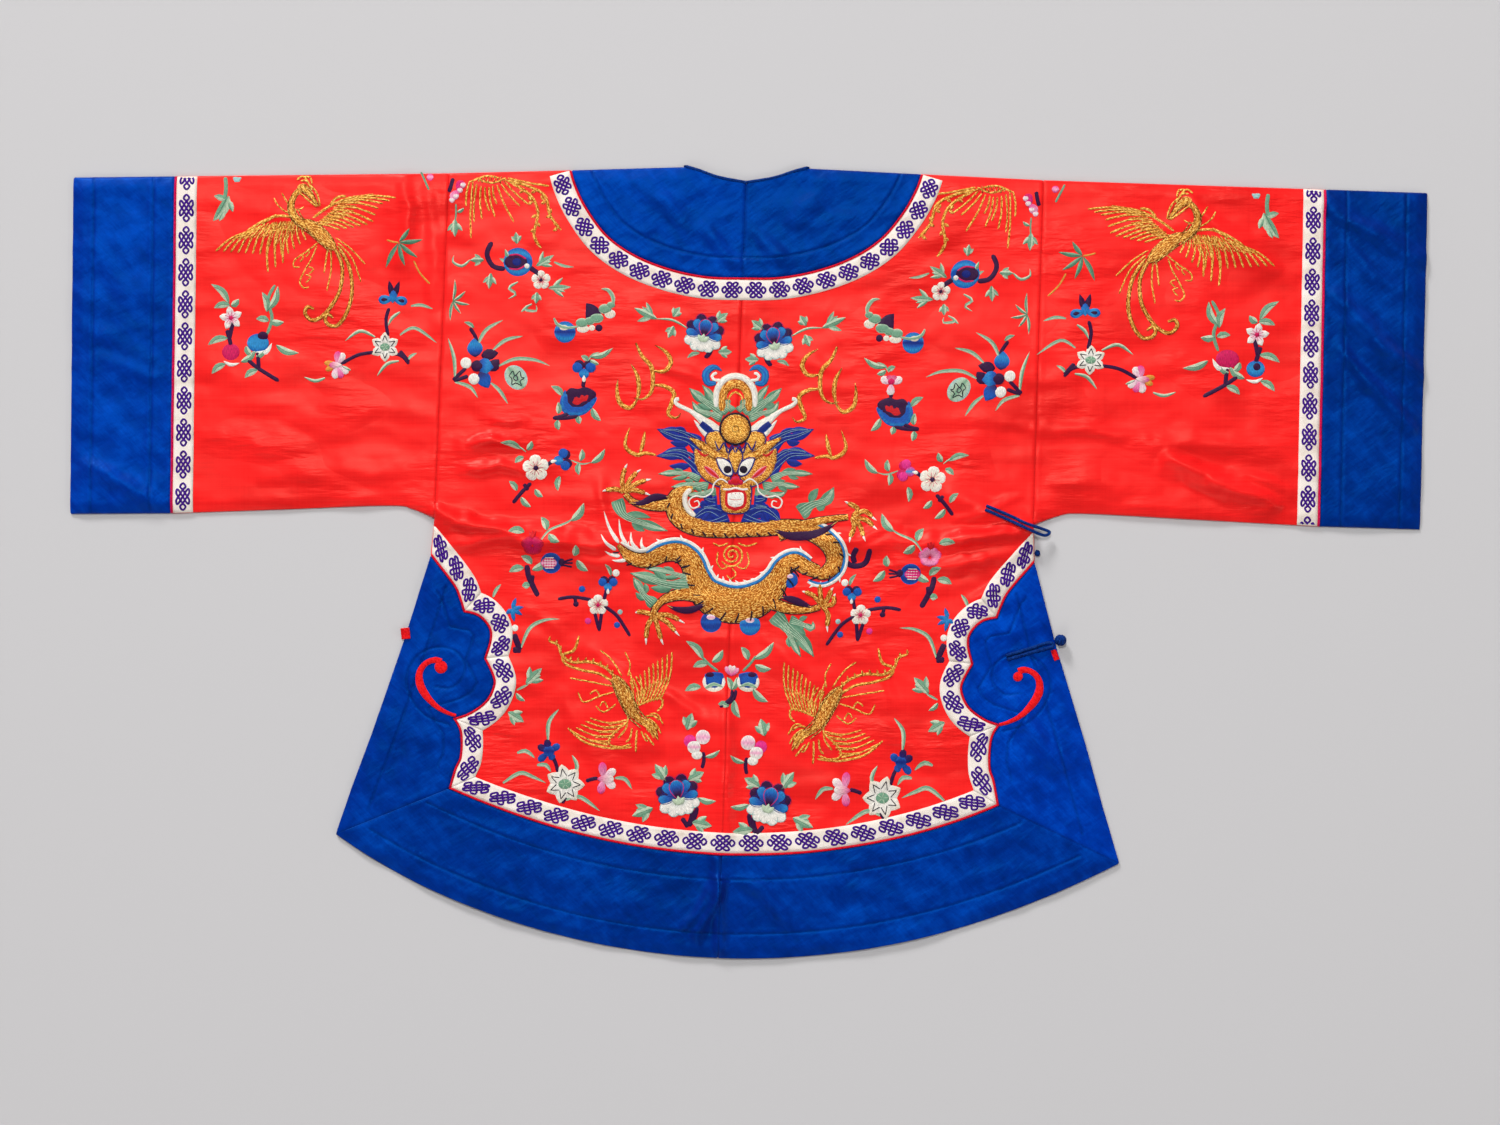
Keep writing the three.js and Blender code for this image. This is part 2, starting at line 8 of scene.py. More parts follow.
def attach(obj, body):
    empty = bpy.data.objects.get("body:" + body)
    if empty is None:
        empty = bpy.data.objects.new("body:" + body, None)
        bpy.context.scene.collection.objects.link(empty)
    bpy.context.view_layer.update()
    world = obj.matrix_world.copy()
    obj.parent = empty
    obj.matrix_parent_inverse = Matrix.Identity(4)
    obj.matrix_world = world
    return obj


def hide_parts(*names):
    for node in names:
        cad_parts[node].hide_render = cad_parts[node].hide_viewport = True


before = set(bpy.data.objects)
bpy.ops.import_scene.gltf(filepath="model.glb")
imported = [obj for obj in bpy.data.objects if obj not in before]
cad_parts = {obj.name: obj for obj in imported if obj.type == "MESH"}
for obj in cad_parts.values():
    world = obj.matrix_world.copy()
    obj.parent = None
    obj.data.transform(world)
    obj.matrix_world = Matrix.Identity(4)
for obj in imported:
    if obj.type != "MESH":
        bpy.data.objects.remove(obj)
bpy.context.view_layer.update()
print("frame loaded")

# All sizes below are in millimetres, and meshes are scaled to metres when they are made.
# +X is the wearer's right, +Y runs from the hem to the neck, and the back of the jacket is up.

cloth = {
    "wall": 1.2,
    "gap": 0.3,
    "restHeight": 4.8,  # top of the back, away from folds and edges
    "leastHeight": 4.15,
    "edgeHeight": 3.1,  # top of the back at an open edge, pressed down on the front
    "edgeReach": 11,
    "foldHeight": 2.4,  # where back and front meet on a folded edge
    "spacing": 2.4,
}
relief = {  # what the cloth's top adds to the plain form
    "folds": 1.6, "creases": 2.7, "lift": 0.3, "seamDepth": 0.42, "seamWidth": 1.2, "seamPuff": 0.2,
    "lineDepth": 0.5, "lineWidth": 1.1, "linePuff": 0.28, "rimDrop": 0.45, "rimWidth": 1.2, "rollWidth": 2.6,
}
# how far each stitched line is from its seam
stitchLines = {"yoke": -19, "sideSeam": -16, "sideEdge": 24, "hemOuter": -75, "hemInner": -23}
trim = {"ribbonWidth": 21.5, "stripThickness": 0.7, "pipingWidth": 2.1, "bindingWidth": 2.4,
        "cordDiameter": 3, "step": 3.0}
# a pixel of the picture in millimetres, and the picture's middle in pixels
picture = {"pixel": 0.9552, "middleX": 750.5, "middleY": 562.5}
halves = ("left", "right")

# The pattern, for one half: the other is its mirror image
neckPoint, neckDip, yokeCorner, frontNeckDip = (57.5, 379.2), (0, 364.6), (61, 377.2), (0, 292)
yokeAtFold, yokeLow, frontYokeLow = (167, 373), (0, 272.2), (0, 205)
sleeveSeamTop, cuffSeamTop, cuffTop = (284, 368.7), (550, 362.8), (647, 360.6)
cuffBottom, cuffSeamBottom, sleeveLow = (645, 39), (549, 40.7), (332, 50.5)
underarm, borderTop, ventTop = (286, 38.6), (288.5, 3.2), (311.8, -78)
hemCorner, hemBandCorner = (374.4, -273.5), (262.8, -224)
hem = {"low": -378, "radius": 723, "bandLow": -279.5, "bandRadius": 650}
lay = {
    "shiftX": 1.6, "shiftY": -0.75, "leanFrom": 363, "bodyLeft": 4.3, "sleeveLean": 0.016, "bodyLean": 0.02,
    "bodyReach": 270, "sleeveReach": 550, "turn": 0.0115, "skirtTurn": 0.026, "skirtFrom": -150,
    "skirtTo": -260,
}

# The solids' own folds, as ridges from one end to the other: x1, y1, x2, y2, width, height
foldRows = [
    (-292, 37, -172, 17, 10, 4.2), (-190, 19, -80, 11, 9, 2.4), (-274, 113, -214, 111, 9, 2.6),
    (-270, 89, -206, 87, 9, 1.8), (272, 22, 150, 15, 10, 3.8), (175, 16, 70, 20, 9, 2.2),
    (268, 36, 190, 62, 10, 2.2), (398, 94, 494, 50, 11, 4.0), (412, 348, 490, 282, 16, 1.8),
    (-330, 366, -330, 286, 16, 1.6), (563, 251, 640, 174, 16, 1.8), (-634, 90, -572, 58, 14, 1.8),
    (-29, -130, -23, -372, 15, 1.8), (252, -128, 298, -200, 16, 1.8),
]
foldReach = 1.9


def place(px, py):  # a place in the picture, in its pixels, as a place on the laid jacket
    x, y = (px - picture["middleX"]) * picture["pixel"], (picture["middleY"] - py) * picture["pixel"]
    return x + lay["shiftX"], y + lay["shiftY"]


def smoothStep(x):
    x = np.clip(x, 0, 1)
    return x * x * (3 - 2 * x)


def laid(points):
    p = np.asarray(points, float)
    x, y = p[:, 0], p[:, 1]
    body = smoothStep((lay["sleeveReach"] - abs(x)) / (lay["sleeveReach"] - lay["bodyReach"]))
    skirt = smoothStep((lay["skirtFrom"] - y) / (lay["skirtFrom"] - lay["skirtTo"]))
    lean = lay["sleeveLean"] + lay["bodyLean"] * body
    return np.column_stack([
        x - lay["bodyLeft"] * body - lean * (lay["leanFrom"] - y) + lay["shiftX"],
        y - x * (lay["turn"] + lay["skirtTurn"] * skirt) + lay["shiftY"],
    ])


def onSide(points, side):
    p = np.array(points, float)
    return laid(p * (-1 if side == "left" else 1, 1))


def spots(path):  # points as pairs, also from a plain row: x, y, x, y
    return np.reshape(path, (-1, 2)).astype(float)


def curveThrough(points, steps):
    p = spots(points)
    t = np.linspace(0, len(p) - 1, steps + 1)
    i = np.minimum(t.astype(int), len(p) - 2)
    w = (t - i)[:, None]
    before, start, end, after = p[np.maximum(i - 1, 0)], p[i], p[i + 1], p[np.minimum(i + 2, len(p) - 1)]
    v, u = (end - before) / 2, (after - start) / 2
    return ((2 * start - 2 * end + v + u) * w + (-3 * start + 3 * end - 2 * v - u)) * w * w + v * w + start


def hemArc(low, radius, reach, steps):
    x = np.linspace(0, reach, steps + 1)
    return np.column_stack([x, low + radius - np.sqrt(radius ** 2 - x ** 2)])


def join(*lines):
    return np.vstack([np.atleast_2d(np.array(line, float)) for line in lines])


def lengthsTo(line):  # from the line's start to each of its points
    return np.concatenate([[0], np.cumsum(np.hypot(*np.diff(spots(line), axis=0).T))])


def resampled(line, count):
    p = spots(line)
    along = lengthsTo(p)
    at = np.linspace(0, along[-1], count)
    return np.column_stack([np.interp(at, along, p[:, k]) for k in range(2)])


def evenly(line, step):  # the same line with points about a step apart
    return resampled(line, max(2, int(round(lengthsTo(line)[-1] / step)) + 1))


def normalsOf(line):  # to the right of the line's direction
    d = np.gradient(np.array(line, float), axis=0)
    d /= np.maximum(np.hypot(d[:, 0], d[:, 1]), 1e-9)[:, None]
    return np.column_stack([d[:, 1], -d[:, 0]])


def movedAside(line, by):
    return np.array(line, float) + normalsOf(line) * by


def crossing(a, b, c, d):
    r, s, q = b - a, d - c, c - a
    across = r[0] * s[1] - r[1] * s[0]
    if abs(across) < 1e-9:
        return None
    t = (q[0] * s[1] - q[1] * s[0]) / across
    return t, (q[0] * r[1] - q[1] * r[0]) / across, a + r * t


def movedStretches(stretches, by):  # smooth stretches moved aside, and cut or run on where they then meet
    moved = [movedAside(stretch, by) for stretch in stretches]
    for k in range(len(moved) - 1):
        first, second, met = moved[k], moved[k + 1], None
        for i in range(len(first) - 2, -1, -1):
            for j in range(len(second) - 1):
                hit = crossing(first[i], first[i + 1], second[j], second[j + 1])
                if hit and 0 <= hit[0] <= 1 and 0 <= hit[1] <= 1:
                    met = (i, j, hit[2])
                    break
            if met:
                break
        if met:
            moved[k] = join(first[:met[0] + 1], met[2])
            moved[k + 1] = join(met[2], second[met[1] + 1:])
        else:
            point = crossing(first[-2], first[-1], second[0], second[1])[2]
            moved[k], moved[k + 1] = join(first, point), join(point, second)
    return moved


def signedArea(outline):
    x, y = np.array(outline, float).T
    return (x * np.roll(y, -1) - y * np.roll(x, -1)).sum() / 2


def insideSeams(outline, by=cloth["gap"] / 2):
    p = np.array(outline, float)
    p = p[np.hypot(*(p - np.roll(p, 1, axis=0)).T) > 0.05]
    if signedArea(p) < 0:
        p = p[::-1]
    into, out = p - np.roll(p, 1, axis=0), np.roll(p, -1, axis=0) - p
    into /= np.hypot(*into.T)[:, None]
    out /= np.hypot(*out.T)[:, None]
    normal = np.column_stack([-into[:, 1] - out[:, 1], into[:, 0] + out[:, 0]])
    return p + normal * (by / np.maximum(0.25, 1 + (into * out).sum(axis=1)))[:, None]


def inside(points, outline):
    x, y = points[:, 0][:, None], points[:, 1][:, None]
    a, b = outline, np.roll(outline, -1, axis=0)
    over = (a[:, 1] > y) != (b[:, 1] > y)
    rise = np.where(b[:, 1] == a[:, 1], 1e-12, b[:, 1] - a[:, 1])
    hits = over & (x < (b[:, 0] - a[:, 0]) * (y - a[:, 1]) / rise + a[:, 0])
    return hits.sum(axis=1) % 2 == 1


def awayFrom(points, line):  # distance of each point from a line
    least = np.full(len(points), 1e9)  # far away
    for a, b in zip(line[:-1], line[1:]):
        run = b - a
        t = np.clip(((points - a) @ run) / max(run @ run, 1e-9), 0, 1)
        least = np.minimum(least, np.hypot(*(points - a - t[:, None] * run).T))
    return least


def softNoise(x, y, size, seed):  # smooth bumps about a size across, from -1 to 1
    lattice = np.random.default_rng(seed).uniform(-1, 1, (64, 64))
    u, v = x / size + 31.7, y / size + 17.3
    i, j = np.floor(u).astype(int), np.floor(v).astype(int)
    s, t = smoothStep(u - i), smoothStep(v - j)
    corner = lambda a, b: lattice[(i + a) % 64, (j + b) % 64]
    return (corner(0, 0) * (1 - s) + corner(1,
                                            0) * s) * (1 - t) + (corner(0,
                                                                        1) * (1 - s) + corner(1, 1) * s) * t


# Creases that only the cloth shows: x1, y1, x2, y2 in the picture's pixels, width and height in millimetres
creaseRows = [
    (470, 440, 512, 446, 4.5, 1.5), (492, 418, 524, 424, 4, 1.1), (470, 468, 530, 474, 4, 1.2),
    (442, 516, 520, 534, 6, 2.5), (450, 540, 600, 550, 6, 2.4), (500, 520, 600, 540, 5, 1.2),
    (560, 560, 640, 566, 6, 1.0), (1030, 528, 950, 546, 6, 2.4), (1020, 552, 940, 566, 6, 2.0),
    (985, 560, 900, 562, 5, 1.2), (1020, 500, 960, 520, 5, 0.9), (900, 530, 830, 536, 5, 1.1),
    (1010, 580, 975, 600, 5, 0.9), (1040, 430, 1140, 434, 7, 1.0), (1150, 440, 1290, 446, 8, 0.9),
    (1165, 455, 1235, 480, 7, 2.4), (1215, 480, 1275, 506, 7, 2.2), (1235, 470, 1290, 492, 5, 1.0),
    (1060, 480, 1150, 488, 8, 0.8), (405, 180, 404, 262, 6, 0.9), (430, 190, 432, 300, 6, 0.7),
    (200, 440, 300, 446, 9, 0.6), (260, 470, 400, 474, 10, 0.7), (330, 400, 430, 412, 8, 0.6),
    (1190, 200, 1240, 240, 7, 0.9), (1215, 240, 1275, 275, 7, 0.9), (1330, 205, 1424, 262, 8, 1.8),
    (1338, 296, 1420, 376, 8, 1.8), (1338, 345, 1412, 432, 7, 1.7), (1350, 250, 1400, 292, 6, 0.7),
    (88, 466, 152, 500, 7, 0.9), (84, 240, 130, 300, 9, 0.5), (96, 350, 150, 380, 8, 0.5),
    (702, 230, 736, 262, 7, 0.9), (756, 232, 782, 262, 7, 0.9), (640, 190, 690, 232, 9, 0.6),
    (822, 190, 790, 232, 9, 0.6), (727, 700, 724, 840, 6, 0.9), (717, 860, 719, 955, 5, 1.8),
    (696, 936, 722, 884, 5, 2.6), (686, 926, 716, 880, 5, 2.0), (742, 880, 792, 925, 8, 1.3),
    (800, 880, 900, 905, 12, 0.6), (560, 880, 640, 905, 12, 0.6), (1016, 702, 1058, 765, 7, 1.0),
    (1002, 740, 1040, 790, 7, 0.7), (430, 720, 400, 800, 9, 0.6), (625, 680, 655, 742, 6, 0.8),
    (655, 690, 700, 722, 6, 0.7), (800, 700, 838, 762, 6, 0.8), (770, 640, 800, 668, 6, 0.7),
    (690, 640, 745, 646, 6, 0.7), (590, 650, 640, 690, 6, 0.6), (870, 640, 900, 700, 6, 0.6),
    (520, 600, 560, 640, 7, 0.6), (640, 360, 700, 380, 6, 0.5), (790, 350, 850, 372, 6, 0.5),
    (980, 420, 1030, 428, 6, 0.6), (560, 700, 600, 760, 8, 0.5), (880, 720, 940, 770, 8, 0.5),
    (600, 470, 606, 540, 6, 0.6),
]


def ridges(x, y, rows, sharpness):
    total = np.zeros_like(x)
    for x1, y1, x2, y2, width, height in rows:
        runX, runY = x2 - x1, y2 - y1
        t = np.clip(((x - x1) * runX + (y - y1) * runY) / (runX ** 2 + runY ** 2), 0, 1)
        away2 = (x - x1 - t * runX) ** 2 + (y - y1 - t * runY) ** 2
        near = np.maximum(0, 1 - away2 / (foldReach * width) ** 2)
        total += height * np.sqrt(np.sin(math.pi * (0.08 + 0.84 * t))) * near ** sharpness
    return total


def clothHeight(p):  # the top of the back above the floor
    x, y = p[:, 0], p[:, 1]
    swayX = x + 5 * softNoise(x, y, 34, 3) + 1.6 * softNoise(x, y, 11, 4)
    swayY = y + 5 * softNoise(x, y, 31, 5) + 1.6 * softNoise(x, y, 10, 6)
    creases = [place(a, b) + place(c, d) + (w, h) for a, b, c, d, w, h in creaseRows]
    height = cloth["restHeight"] + relief["lift"] + relief["folds"] * ridges(swayX, swayY, foldRows, 4)
    height += relief["creases"] * ridges(swayX, swayY, creases, 3)
    height += 0.9 * softNoise(x, y, 52, 1) + 0.7 * softNoise(x + 0.4 * y, 1.7 * y, 27, 9)
    height += 0.8 * softNoise(x + 0.2 * y, 2.6 * y - 0.3 * x, 38, 8)  # drawn-out wrinkles, mostly level
    height += 0.22 * softNoise(x, y * 1.6, 13, 2) + 0.07 * softNoise(x, y, 5.5, 7)
    least = cloth["leastHeight"]
    return least + np.logaddexp(0, 4 * (height - least)) / 4  # never under the least


# Seam lines of one half
backNeck = curveThrough([neckDip, (26, 369.2), (44, 375.2), neckPoint], 30)
frontNeck = curveThrough([frontNeckDip, (30, 299), (52, 325), neckPoint], 30)
yokeEdge = curveThrough(
    [yokeLow, (34, 273), (70, 280), (104, 293), (131, 311.5), (151, 337), (162, 358), yokeAtFold], 70)
frontYokeEdge = curveThrough([frontYokeLow, (60, 214), (112, 245), (150, 300), yokeAtFold], 50)
lapelEdge = curveThrough([frontYokeLow, (60, 176), (130, 112), (210, 64), underarm], 50)
sleeveBottom = curveThrough([underarm, (308, 47.4), sleeveLow, (440, 45.6), cuffSeamBottom], 60)
borderStretches = [curveThrough([borderTop, (266, -24.5), (259.4, -37.8), (255, -50.4)], 21),
                   curveThrough([(255, -50.4), (241, -54), (230.5, -65), (229, -77), (233.7, -94.3)], 27),
                   curveThrough([(233.7, -94.3), (225.6, -110), (224, -120), (231, -135), (246.5, -146.5),
                                 (261.4, -151.7)], 33),
                   curveThrough([(261.4, -151.7), (254.2, -165.5), (253.5, -190), (258, -203),
                                 hemBandCorner], 27),
                   hemArc(hem["bandLow"], hem["bandRadius"], hemBandCorner[0], 80)[::-1]]
border = join(*borderStretches[:4])
hemBandEdge = borderStretches[4]
outerHem = hemArc(hem["low"], hem["radius"], hemCorner[0], 110)
mitre = [hemBandCorner, hemCorner]
sideEdge = [borderTop, ventTop, (341.5, -170), (360, -228), hemCorner]
shoulder = [yokeAtFold, sleeveSeamTop]
skirtLine = join([underarm], border, hemBandEdge)


class Wire:
    # A shader socket that adds its Math nodes as it is used in expressions

    def __init__(self, paint, socket):
        self.paint, self.socket = paint, socket

    def maths(self, operation, *values):
        return self.paint.node("ShaderNodeMath", {"operation": operation}, dict(enumerate(values)))

    def __add__(self, other): return self.maths("ADD", self, other)
    def __radd__(self, other): return self.maths("ADD", other, self)
    def __mul__(self, other): return self.maths("MULTIPLY", self, other)
    def __rmul__(self, other): return self.maths("MULTIPLY", other, self)


class Paint:
    # A material round one Principled shader: plain values go straight on the shader's own sockets

    def __init__(self, name, **plain):
        self.material = bpy.data.materials.new(name)
        self.material.use_nodes = True
        self.nodes, self.links = self.material.node_tree.nodes, self.material.node_tree.links
        self.shader = self.nodes["Principled BSDF"]
        for socket, value in plain.items():
            self.shader.inputs[socket.replace("_", " ")].default_value = value

    def node(self, kind, settings=None, values=None, out=0):
        made = self.nodes.new(kind)
        for key, value in (settings or {}).items():
            if key == "stops":
                ramp = made.color_ramp
                while len(ramp.elements) < len(value):
                    ramp.elements.new(0.5)
                for element, (at, colour) in zip(ramp.elements, value):
                    element.position, element.color = at, (*colour, 1)
            else:
                setattr(made, key, value)
        for key, value in (values or {}).items():
            if isinstance(value, Wire):
                self.links.new(value.socket, made.inputs[key])
            else:
                made.inputs[key].default_value = value
        return Wire(self, made.outputs[out])

    def feed(self, socket, wire):
        self.links.new(wire.socket, self.shader.inputs[socket])

    # the cloth's painted shade and light, kept per point in its thread attribute: darker in seam and
    # stitched-line grooves, lighter or darker by piece
    def seams(self):
        return self.node("ShaderNodeAttribute", {"attribute_name": "thread"}, out="Color")

    def spot(self):
        return self.node("ShaderNodeTexCoord", out="Object")

    def stretched(self, scale, turn=0.0):
        return self.node("ShaderNodeMapping", {"vector_type": "TEXTURE"},
                         {"Vector": self.spot(), "Scale": tuple(1 / v for v in scale),
                          "Rotation": (0, 0, turn)})

    def noise(self, scale, turn=0.0, detail=2.0, roughness=0.5):
        return self.node("ShaderNodeTexNoise", {}, {
            "Vector": self.stretched(scale, turn), "Scale": 1.0, "Detail": detail, "Roughness": roughness})

    def ramp(self, value, stops):
        return self.node("ShaderNodeValToRGB", {"stops": stops}, {0: value})

    def between(self, factor, first, second, blend="MIX"):
        return self.node("ShaderNodeMix", {"data_type": "RGBA", "blend_type": blend},
                         {0: factor, 6: first, 7: second}, out=2)

    def bump(self, height, strength, distance, before=None):
        values = {"Height": height, "Strength": strength, "Distance": distance}
        if before:
            values["Normal"] = before
        return self.node("ShaderNodeBump", {}, values)


def linear(*rgb):  # a colour as seen, 0 to 255, as the shader takes it
    return tuple(((c / 255 + 0.055) / 1.055) ** 2.4 if c > 10 else c / 255 / 12.92 for c in rgb)


def redSatin():
    paint = Paint("redSatin", Specular_IOR_Level=0.85, Specular_Tint=(1, 0.2, 0.15, 1))
    warp = paint.noise((760, 10, 1), detail=3)
    weft = paint.noise((14, 900, 1), detail=3)
    slub = paint.noise((6, 260, 1), detail=3)
    cloudy = paint.noise((9, 24, 1), detail=4)
    lines = warp * 0.25 + weft * 0.4 + slub * 0.35
    base = paint.ramp(lines, [(0.3, linear(234, 18, 22)), (0.5, linear(244, 26, 28)),
                              (0.7, linear(252, 36, 34))])
    shade = paint.ramp(cloudy, [(0.34, linear(220, 180, 186)), (0.54, linear(255, 255, 255))])
    shaded = paint.between(0.75, base, shade, "MULTIPLY")
    # times the painted shade in the seams and stitched lines and the piece's painted light level
    paint.feed("Base Color", paint.between(1.0, shaded, paint.seams(), "MULTIPLY"))
    paint.feed("Roughness", 0.24 + lines * 0.3)
    weave = paint.noise((1500, 1500, 1), detail=1)
    fine = paint.bump(lines * 0.8 + weave * 0.2, 0.3, 0.0005)
    rumples = paint.noise((24, 105, 1), detail=3)  # short level wrinkles, in patches
    patches = paint.ramp(paint.noise((11, 15, 1), detail=1), [(0.48, (0, 0, 0)), (0.7, (1, 1, 1))])
    paint.feed("Normal", paint.bump(rumples * patches, 0.8, 0.0036, fine))
    return paint.material


def blueSilk():
    paint = Paint("blueSilk", Specular_IOR_Level=0.9, Specular_Tint=(0.0, 0.26, 0.95, 1))
    slant = paint.noise((620, 30, 1), turn=math.radians(45), detail=3)
    mottled = paint.noise((75, 42, 1), turn=math.radians(38), detail=5, roughness=0.6)
    cloudy = paint.noise((7, 7, 1), detail=3)
    lines = slant * 0.12 + mottled * 0.46 + cloudy * 0.42
    base = paint.ramp(lines, [(0.36, linear(0, 20, 106)), (0.5, linear(0, 34, 134)),
                              (0.64, linear(0, 58, 168))])
    # times the painted shade in the seams and stitched lines and the piece's painted light level
    paint.feed("Base Color", paint.between(1.0, base, paint.seams(), "MULTIPLY"))
    paint.feed("Roughness", 0.34 + lines * 0.3)
    weave = paint.noise((1300, 1300, 1), detail=1)
    fine = paint.bump(slant * 0.5 + weave * 0.5, 0.3, 0.0005)
    rumples = paint.noise((26, 70, 1), turn=math.radians(35), detail=3)
    paint.feed("Normal", paint.bump(rumples, 0.6, 0.0028, fine))
    return paint.material


def wovenRibbon():
    paint = Paint("wovenRibbon", Roughness=0.75, Specular_IOR_Level=0.2)
    picks = paint.noise((1100, 1100, 1), detail=2)
    toneShift = paint.noise((60, 60, 1), detail=4)
    base = paint.ramp(toneShift, [(0.25, linear(216, 200, 186)), (0.5, linear(238, 228, 218)),
                             (0.8, linear(246, 240, 234))])
    shade = paint.ramp(picks, [(0.3, linear(226, 220, 214)), (0.65, linear(255, 255, 255))])
    paint.feed("Base Color", paint.between(0.7, base, shade, "MULTIPLY"))
    paint.feed("Normal", paint.bump(picks, 0.4, 0.0004))
    return paint.material


def plainSilk(name, dark, light, roughness=0.55):  # rolled silk, cord and thread
    paint = Paint(name, Roughness=roughness, Specular_IOR_Level=0.3, Specular_Tint=(*linear(*light), 1))
    twist = paint.noise((700, 420, 700), turn=math.radians(35), detail=2)
    paint.feed("Base Color", paint.ramp(twist, [(0.3, linear(*dark)), (0.7, linear(*light))]))
    paint.feed("Normal", paint.bump(twist, 0.4, 0.0005))
    return paint.material


def stitchedSilk(name):  # embroidery: colour by thread, and the threads' direction in the UV map
    paint = Paint(name, Roughness=0.45, Specular_IOR_Level=0.15)
    colour = paint.node("ShaderNodeAttribute", {"attribute_name": "thread"}, out="Color")
    along = paint.node("ShaderNodeUVMap", {"uv_map": "stitch"})
    strand = paint.node("ShaderNodeMapping", {}, {"Vector": along, "Scale": (0.3, 2.6, 1)})
    strands = paint.node("ShaderNodeTexNoise", {}, {"Vector": strand, "Scale": 1.0, "Detail": 3.0})
    lightness = paint.ramp(strands, [(0.32, linear(150, 150, 150)), (0.62, linear(255, 255, 255))])
    paint.feed("Base Color", paint.between(0.75, colour, lightness, "MULTIPLY"))
    paint.feed("Normal", paint.bump(strands, 0.6, 0.0005))
    return paint.material


def couchedGold():  # gold thread laid in rows and caught down; a speckle makes it darker in places and, where it is lightest, paints a glint on it
    paint = Paint("goldThread", Metallic=0.25, Specular_IOR_Level=0.4,
                  Specular_Tint=(*linear(255, 214, 120), 1))
    colour = paint.node("ShaderNodeAttribute", {"attribute_name": "thread"}, out="Color")
    along = paint.node("ShaderNodeUVMap", {"uv_map": "stitch"})
    wander = paint.node("ShaderNodeMapping", {}, {"Vector": along, "Scale": (0.5, 0.8, 1)})
    speckle = paint.node("ShaderNodeTexNoise", {}, {"Vector": wander, "Scale": 1.0, "Detail": 4.0,
                                                    "Roughness": 0.75})
    row = paint.node("ShaderNodeMapping", {}, {"Vector": along, "Scale": (0.25, 1.6, 1)})
    rows = paint.node("ShaderNodeTexNoise", {}, {"Vector": row, "Scale": 1.0, "Detail": 2.0,
                                                 "Distortion": 0.6})
    toneShift = speckle * 0.6 + rows * 0.4
    light = paint.ramp(toneShift, [(0.38, linear(84, 50, 26)), (0.46, linear(176, 132, 96)),
                              (0.53, linear(246, 232, 214)), (0.6, linear(255, 255, 255))])
    glint = paint.between(paint.ramp(toneShift, [(0.5, (0, 0, 0)), (0.58, (0.9, 0.9, 0.9))]), colour,
                          (*linear(255, 222, 128), 1))
    paint.feed("Base Color", paint.between(0.95, glint, light, "MULTIPLY"))
    paint.feed("Roughness", 0.3 + toneShift * 0.3)
    paint.feed("Normal", paint.bump(toneShift, 0.8, 0.0007))
    return paint.material


finishes = {
    "satin": redSatin(),
    "blueSilk": blueSilk(),
    "ribbon": wovenRibbon(),
    "knots": plainSilk("violetThread", (42, 14, 92), (76, 36, 138), 0.7),
    "piping": plainSilk("redPiping", (176, 10, 34), (226, 28, 48)),
    "cuffPiping": plainSilk("magentaPiping", (170, 10, 60), (216, 30, 84)),
    "binding": plainSilk("darkBlueCord", (6, 28, 84), (20, 58, 128)),
    "redCord": plainSilk("redCord", (196, 14, 22), (240, 36, 38)),
    "thread": stitchedSilk("silkThread"),
    "goldThread": couchedGold(),
}
print("finishes made")


def addPiece(name, points, faces, finish, nodes=(), colours=None, stitches=None):
    mesh = bpy.data.meshes.new(name)
    mesh.from_pydata((np.asarray(points) / 1000).tolist(), [], [tuple(map(int, f)) for f in faces])
    mesh.polygons.foreach_set("use_smooth", [True] * len(mesh.polygons))
    if colours is None and finish in ("satin", "blueSilk"):
        colours = np.ones((len(points), 3))
    if colours is not None:
        layer = mesh.color_attributes.new("thread", "FLOAT_COLOR", "POINT")
        layer.data.foreach_set("color", np.column_stack([colours, np.ones(len(colours))]).ravel())
    if stitches is not None:
        uv = mesh.uv_layers.new(name="stitch")
        corner = np.zeros(len(mesh.loops), int)
        mesh.loops.foreach_get("vertex_index", corner)
        uv.data.foreach_set("uv", np.asarray(stitches)[corner].ravel())
    mesh.validate()
    piece = bpy.data.objects.new(name, mesh)
    bpy.context.collection.objects.link(piece)
    mesh.materials.append(finishes[finish])
    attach(piece, "root")
    if nodes:
        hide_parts(*nodes)
    return piece


def triangulate(outline, spacing,
                lines=()):  # fill an outline with cloth points: rings by its edge, then a grid
    edge = evenly(join(outline, outline[:1]), spacing)[:-1]
    rings = [insideSeams(edge, by) for by in (0.7, 1.7, 3.1)]
    low, high = edge.min(axis=0), edge.max(axis=0)
    gx, gy = np.meshgrid(np.arange(low[0], high[0], spacing), np.arange(low[1], high[1], spacing))
    gx[::2] += spacing / 2
    grid = np.column_stack([gx.ravel(), gy.ravel()])
    rows = [evenly(movedAside(line, by), spacing * 0.8) for line in lines for by in (-2.5, -1.2, 0, 1.2, 2.5)]
    keep = inside(grid, insideSeams(edge, 4.2)) if len(grid) else []
    grid = grid[keep]
    for line in lines:
        grid = grid[awayFrom(grid, line) > 3.4]
    extra = join(*rings, *rows) if rows else join(*rings)
    extra = extra[inside(extra, edge)]
    points = join(edge, extra, grid)
    count = len(edge)
    made = geometry.delaunay_2d_cdt([Vector(p) for p in points], [], [list(range(count))], 1, 1e-4)
    flat = np.array([tuple(v) for v in made[0]])
    return flat, np.array([f for f in made[2] if len(f) == 3])


